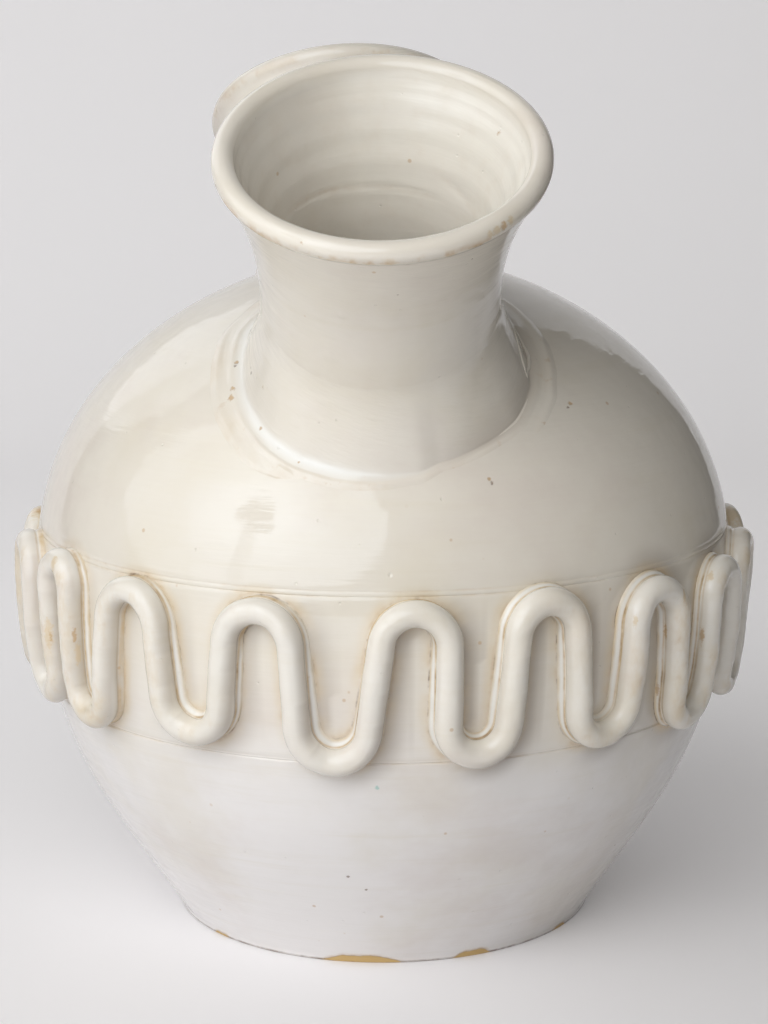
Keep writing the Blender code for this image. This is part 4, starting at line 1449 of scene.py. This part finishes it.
def light_from(name, azimuth, elevation, distance, width, height, power, colour):
    """An area light aimed at the pot; azimuth 0 is the camera's side, + to its right."""
    az, el = math.radians(azimuth), math.radians(elevation)
    toward = Vector((math.sin(az) * math.cos(el), -math.cos(az) * math.cos(el), math.sin(el)))
    data = bpy.data.lights.new(name, "AREA")
    data.shape = "ELLIPSE"
    data.size = width
    data.size_y = height
    data.energy = power
    data.color = colour
    lamp = add_object(name, data)
    lamp.location = MIDDLE + toward * distance
    lamp.rotation_euler = toward.to_track_quat("Z", "Y").to_euler()
    lamp.visible_camera = False
    return lamp


UMBRELLA_WHITE = (0.985, 0.992, 1.0)
# Places and sizes on the umbrella as shares of its width and height.
LAMP_HEAD = (0.539, 0.514)
HEAD_SQUASH = 0.72
HEAD_EDGE = (0.050, 0.062)
STEM_EDGE = (0.010, 0.030)
STEM_TOP = (0.445, 0.505)
umbrella = light_from(
    "umbrella", azimuth=-49.0, elevation=28.0, distance=1.05, width=2.1, height=1.35,
    power=9.9, colour=UMBRELLA_WHITE,
)
# Seen in the glaze, the umbrella is dimmer on its far side, and the lamp's own head and
# stem stand before its middle.
umbrella.data.use_nodes = True
lamp_tree = umbrella.data.node_tree
lamp_place = node_value(lamp_tree, "ShaderNodeNewGeometry", (), "Parametric")
lamp_across, lamp_up, _ = lamp_place.parts()
from_head = lamp_place.vector("SUBTRACT", LAMP_HEAD + (0.0,))
from_head = from_head.vector("MULTIPLY", (1.0, HEAD_SQUASH, 1.0)).vector("LENGTH")
head = ramp(from_head, *HEAD_EDGE, 0.0, 1.0)
stem = ramp(abs(lamp_across - LAMP_HEAD[0]), *STEM_EDGE, 0.55, 0.0)
stem = stem * ramp(lamp_up, *STEM_TOP, 1.0, 0.0)
falling = ramp(lamp_across, 0.0, 0.8, 0.50, 1.0)
glare = ramp(from_head, 0.05, 0.26, 1.9, 1.0)
shown = falling * head.maths("SUBTRACT", stem, True) * glare
lamp_look = {"Color": UMBRELLA_WHITE + (1.0,), "Strength": shown}
set_inputs(lamp_tree, lamp_tree.nodes["Emission"], lamp_look)
screen = light_from(
    "screen", azimuth=-12.0, elevation=35.0, distance=1.12, width=1.0, height=1.0,
    power=4.7, colour=(1.0, 0.995, 0.985),
)
screen.visible_glossy = False
light_from(
    "fill", azimuth=-140.0, elevation=38.0, distance=1.3, width=1.0, height=1.0,
    power=1.6, colour=(1.0, 1.0, 1.0),
)

world = bpy.data.worlds.new("room")
world.use_nodes = True
room_ray = node_value(world.node_tree, "ShaderNodeLightPath", (), "Is Camera Ray")
room_look = {"Color": (1.0, 0.968, 0.925, 1.0), "Strength": ramp(room_ray, 0.0, 1.0, 0.116, 0.66)}
set_inputs(world.node_tree, world.node_tree.nodes["Background"], room_look)
bpy.context.scene.world = world

# Camera
# Where the photographer stood: a little above the pot and close in front of it.
CAMERA_PLACE = Vector((0.0, -0.86052, 0.31535))
CAMERA_PITCH = 0.209794
CAMERA_YAW = 0.000346
CAMERA_ROLL = -0.0030017
CAMERA_LENS = 92.58

ahead = Vector((
    math.sin(CAMERA_YAW) * math.cos(CAMERA_PITCH),
    math.cos(CAMERA_YAW) * math.cos(CAMERA_PITCH),
    -math.sin(CAMERA_PITCH),
))
level_right = Vector((math.cos(CAMERA_YAW), -math.sin(CAMERA_YAW), 0.0))
level_up = level_right.cross(ahead)
camera_right = level_right * math.cos(CAMERA_ROLL) + level_up * math.sin(CAMERA_ROLL)
camera_up = camera_right.cross(ahead)
camera_data = bpy.data.cameras.new("camera")
camera_data.lens = CAMERA_LENS
camera_data.sensor_width = 36.0
camera_data.clip_end = 20.0
camera = add_object("camera", camera_data)
turned_camera = Matrix((camera_right, camera_up, -ahead)).transposed().to_4x4()
camera.matrix_world = Matrix.Translation(CAMERA_PLACE) @ turned_camera
bpy.context.scene.camera = camera
bpy.context.scene.view_settings.view_transform = "Standard"
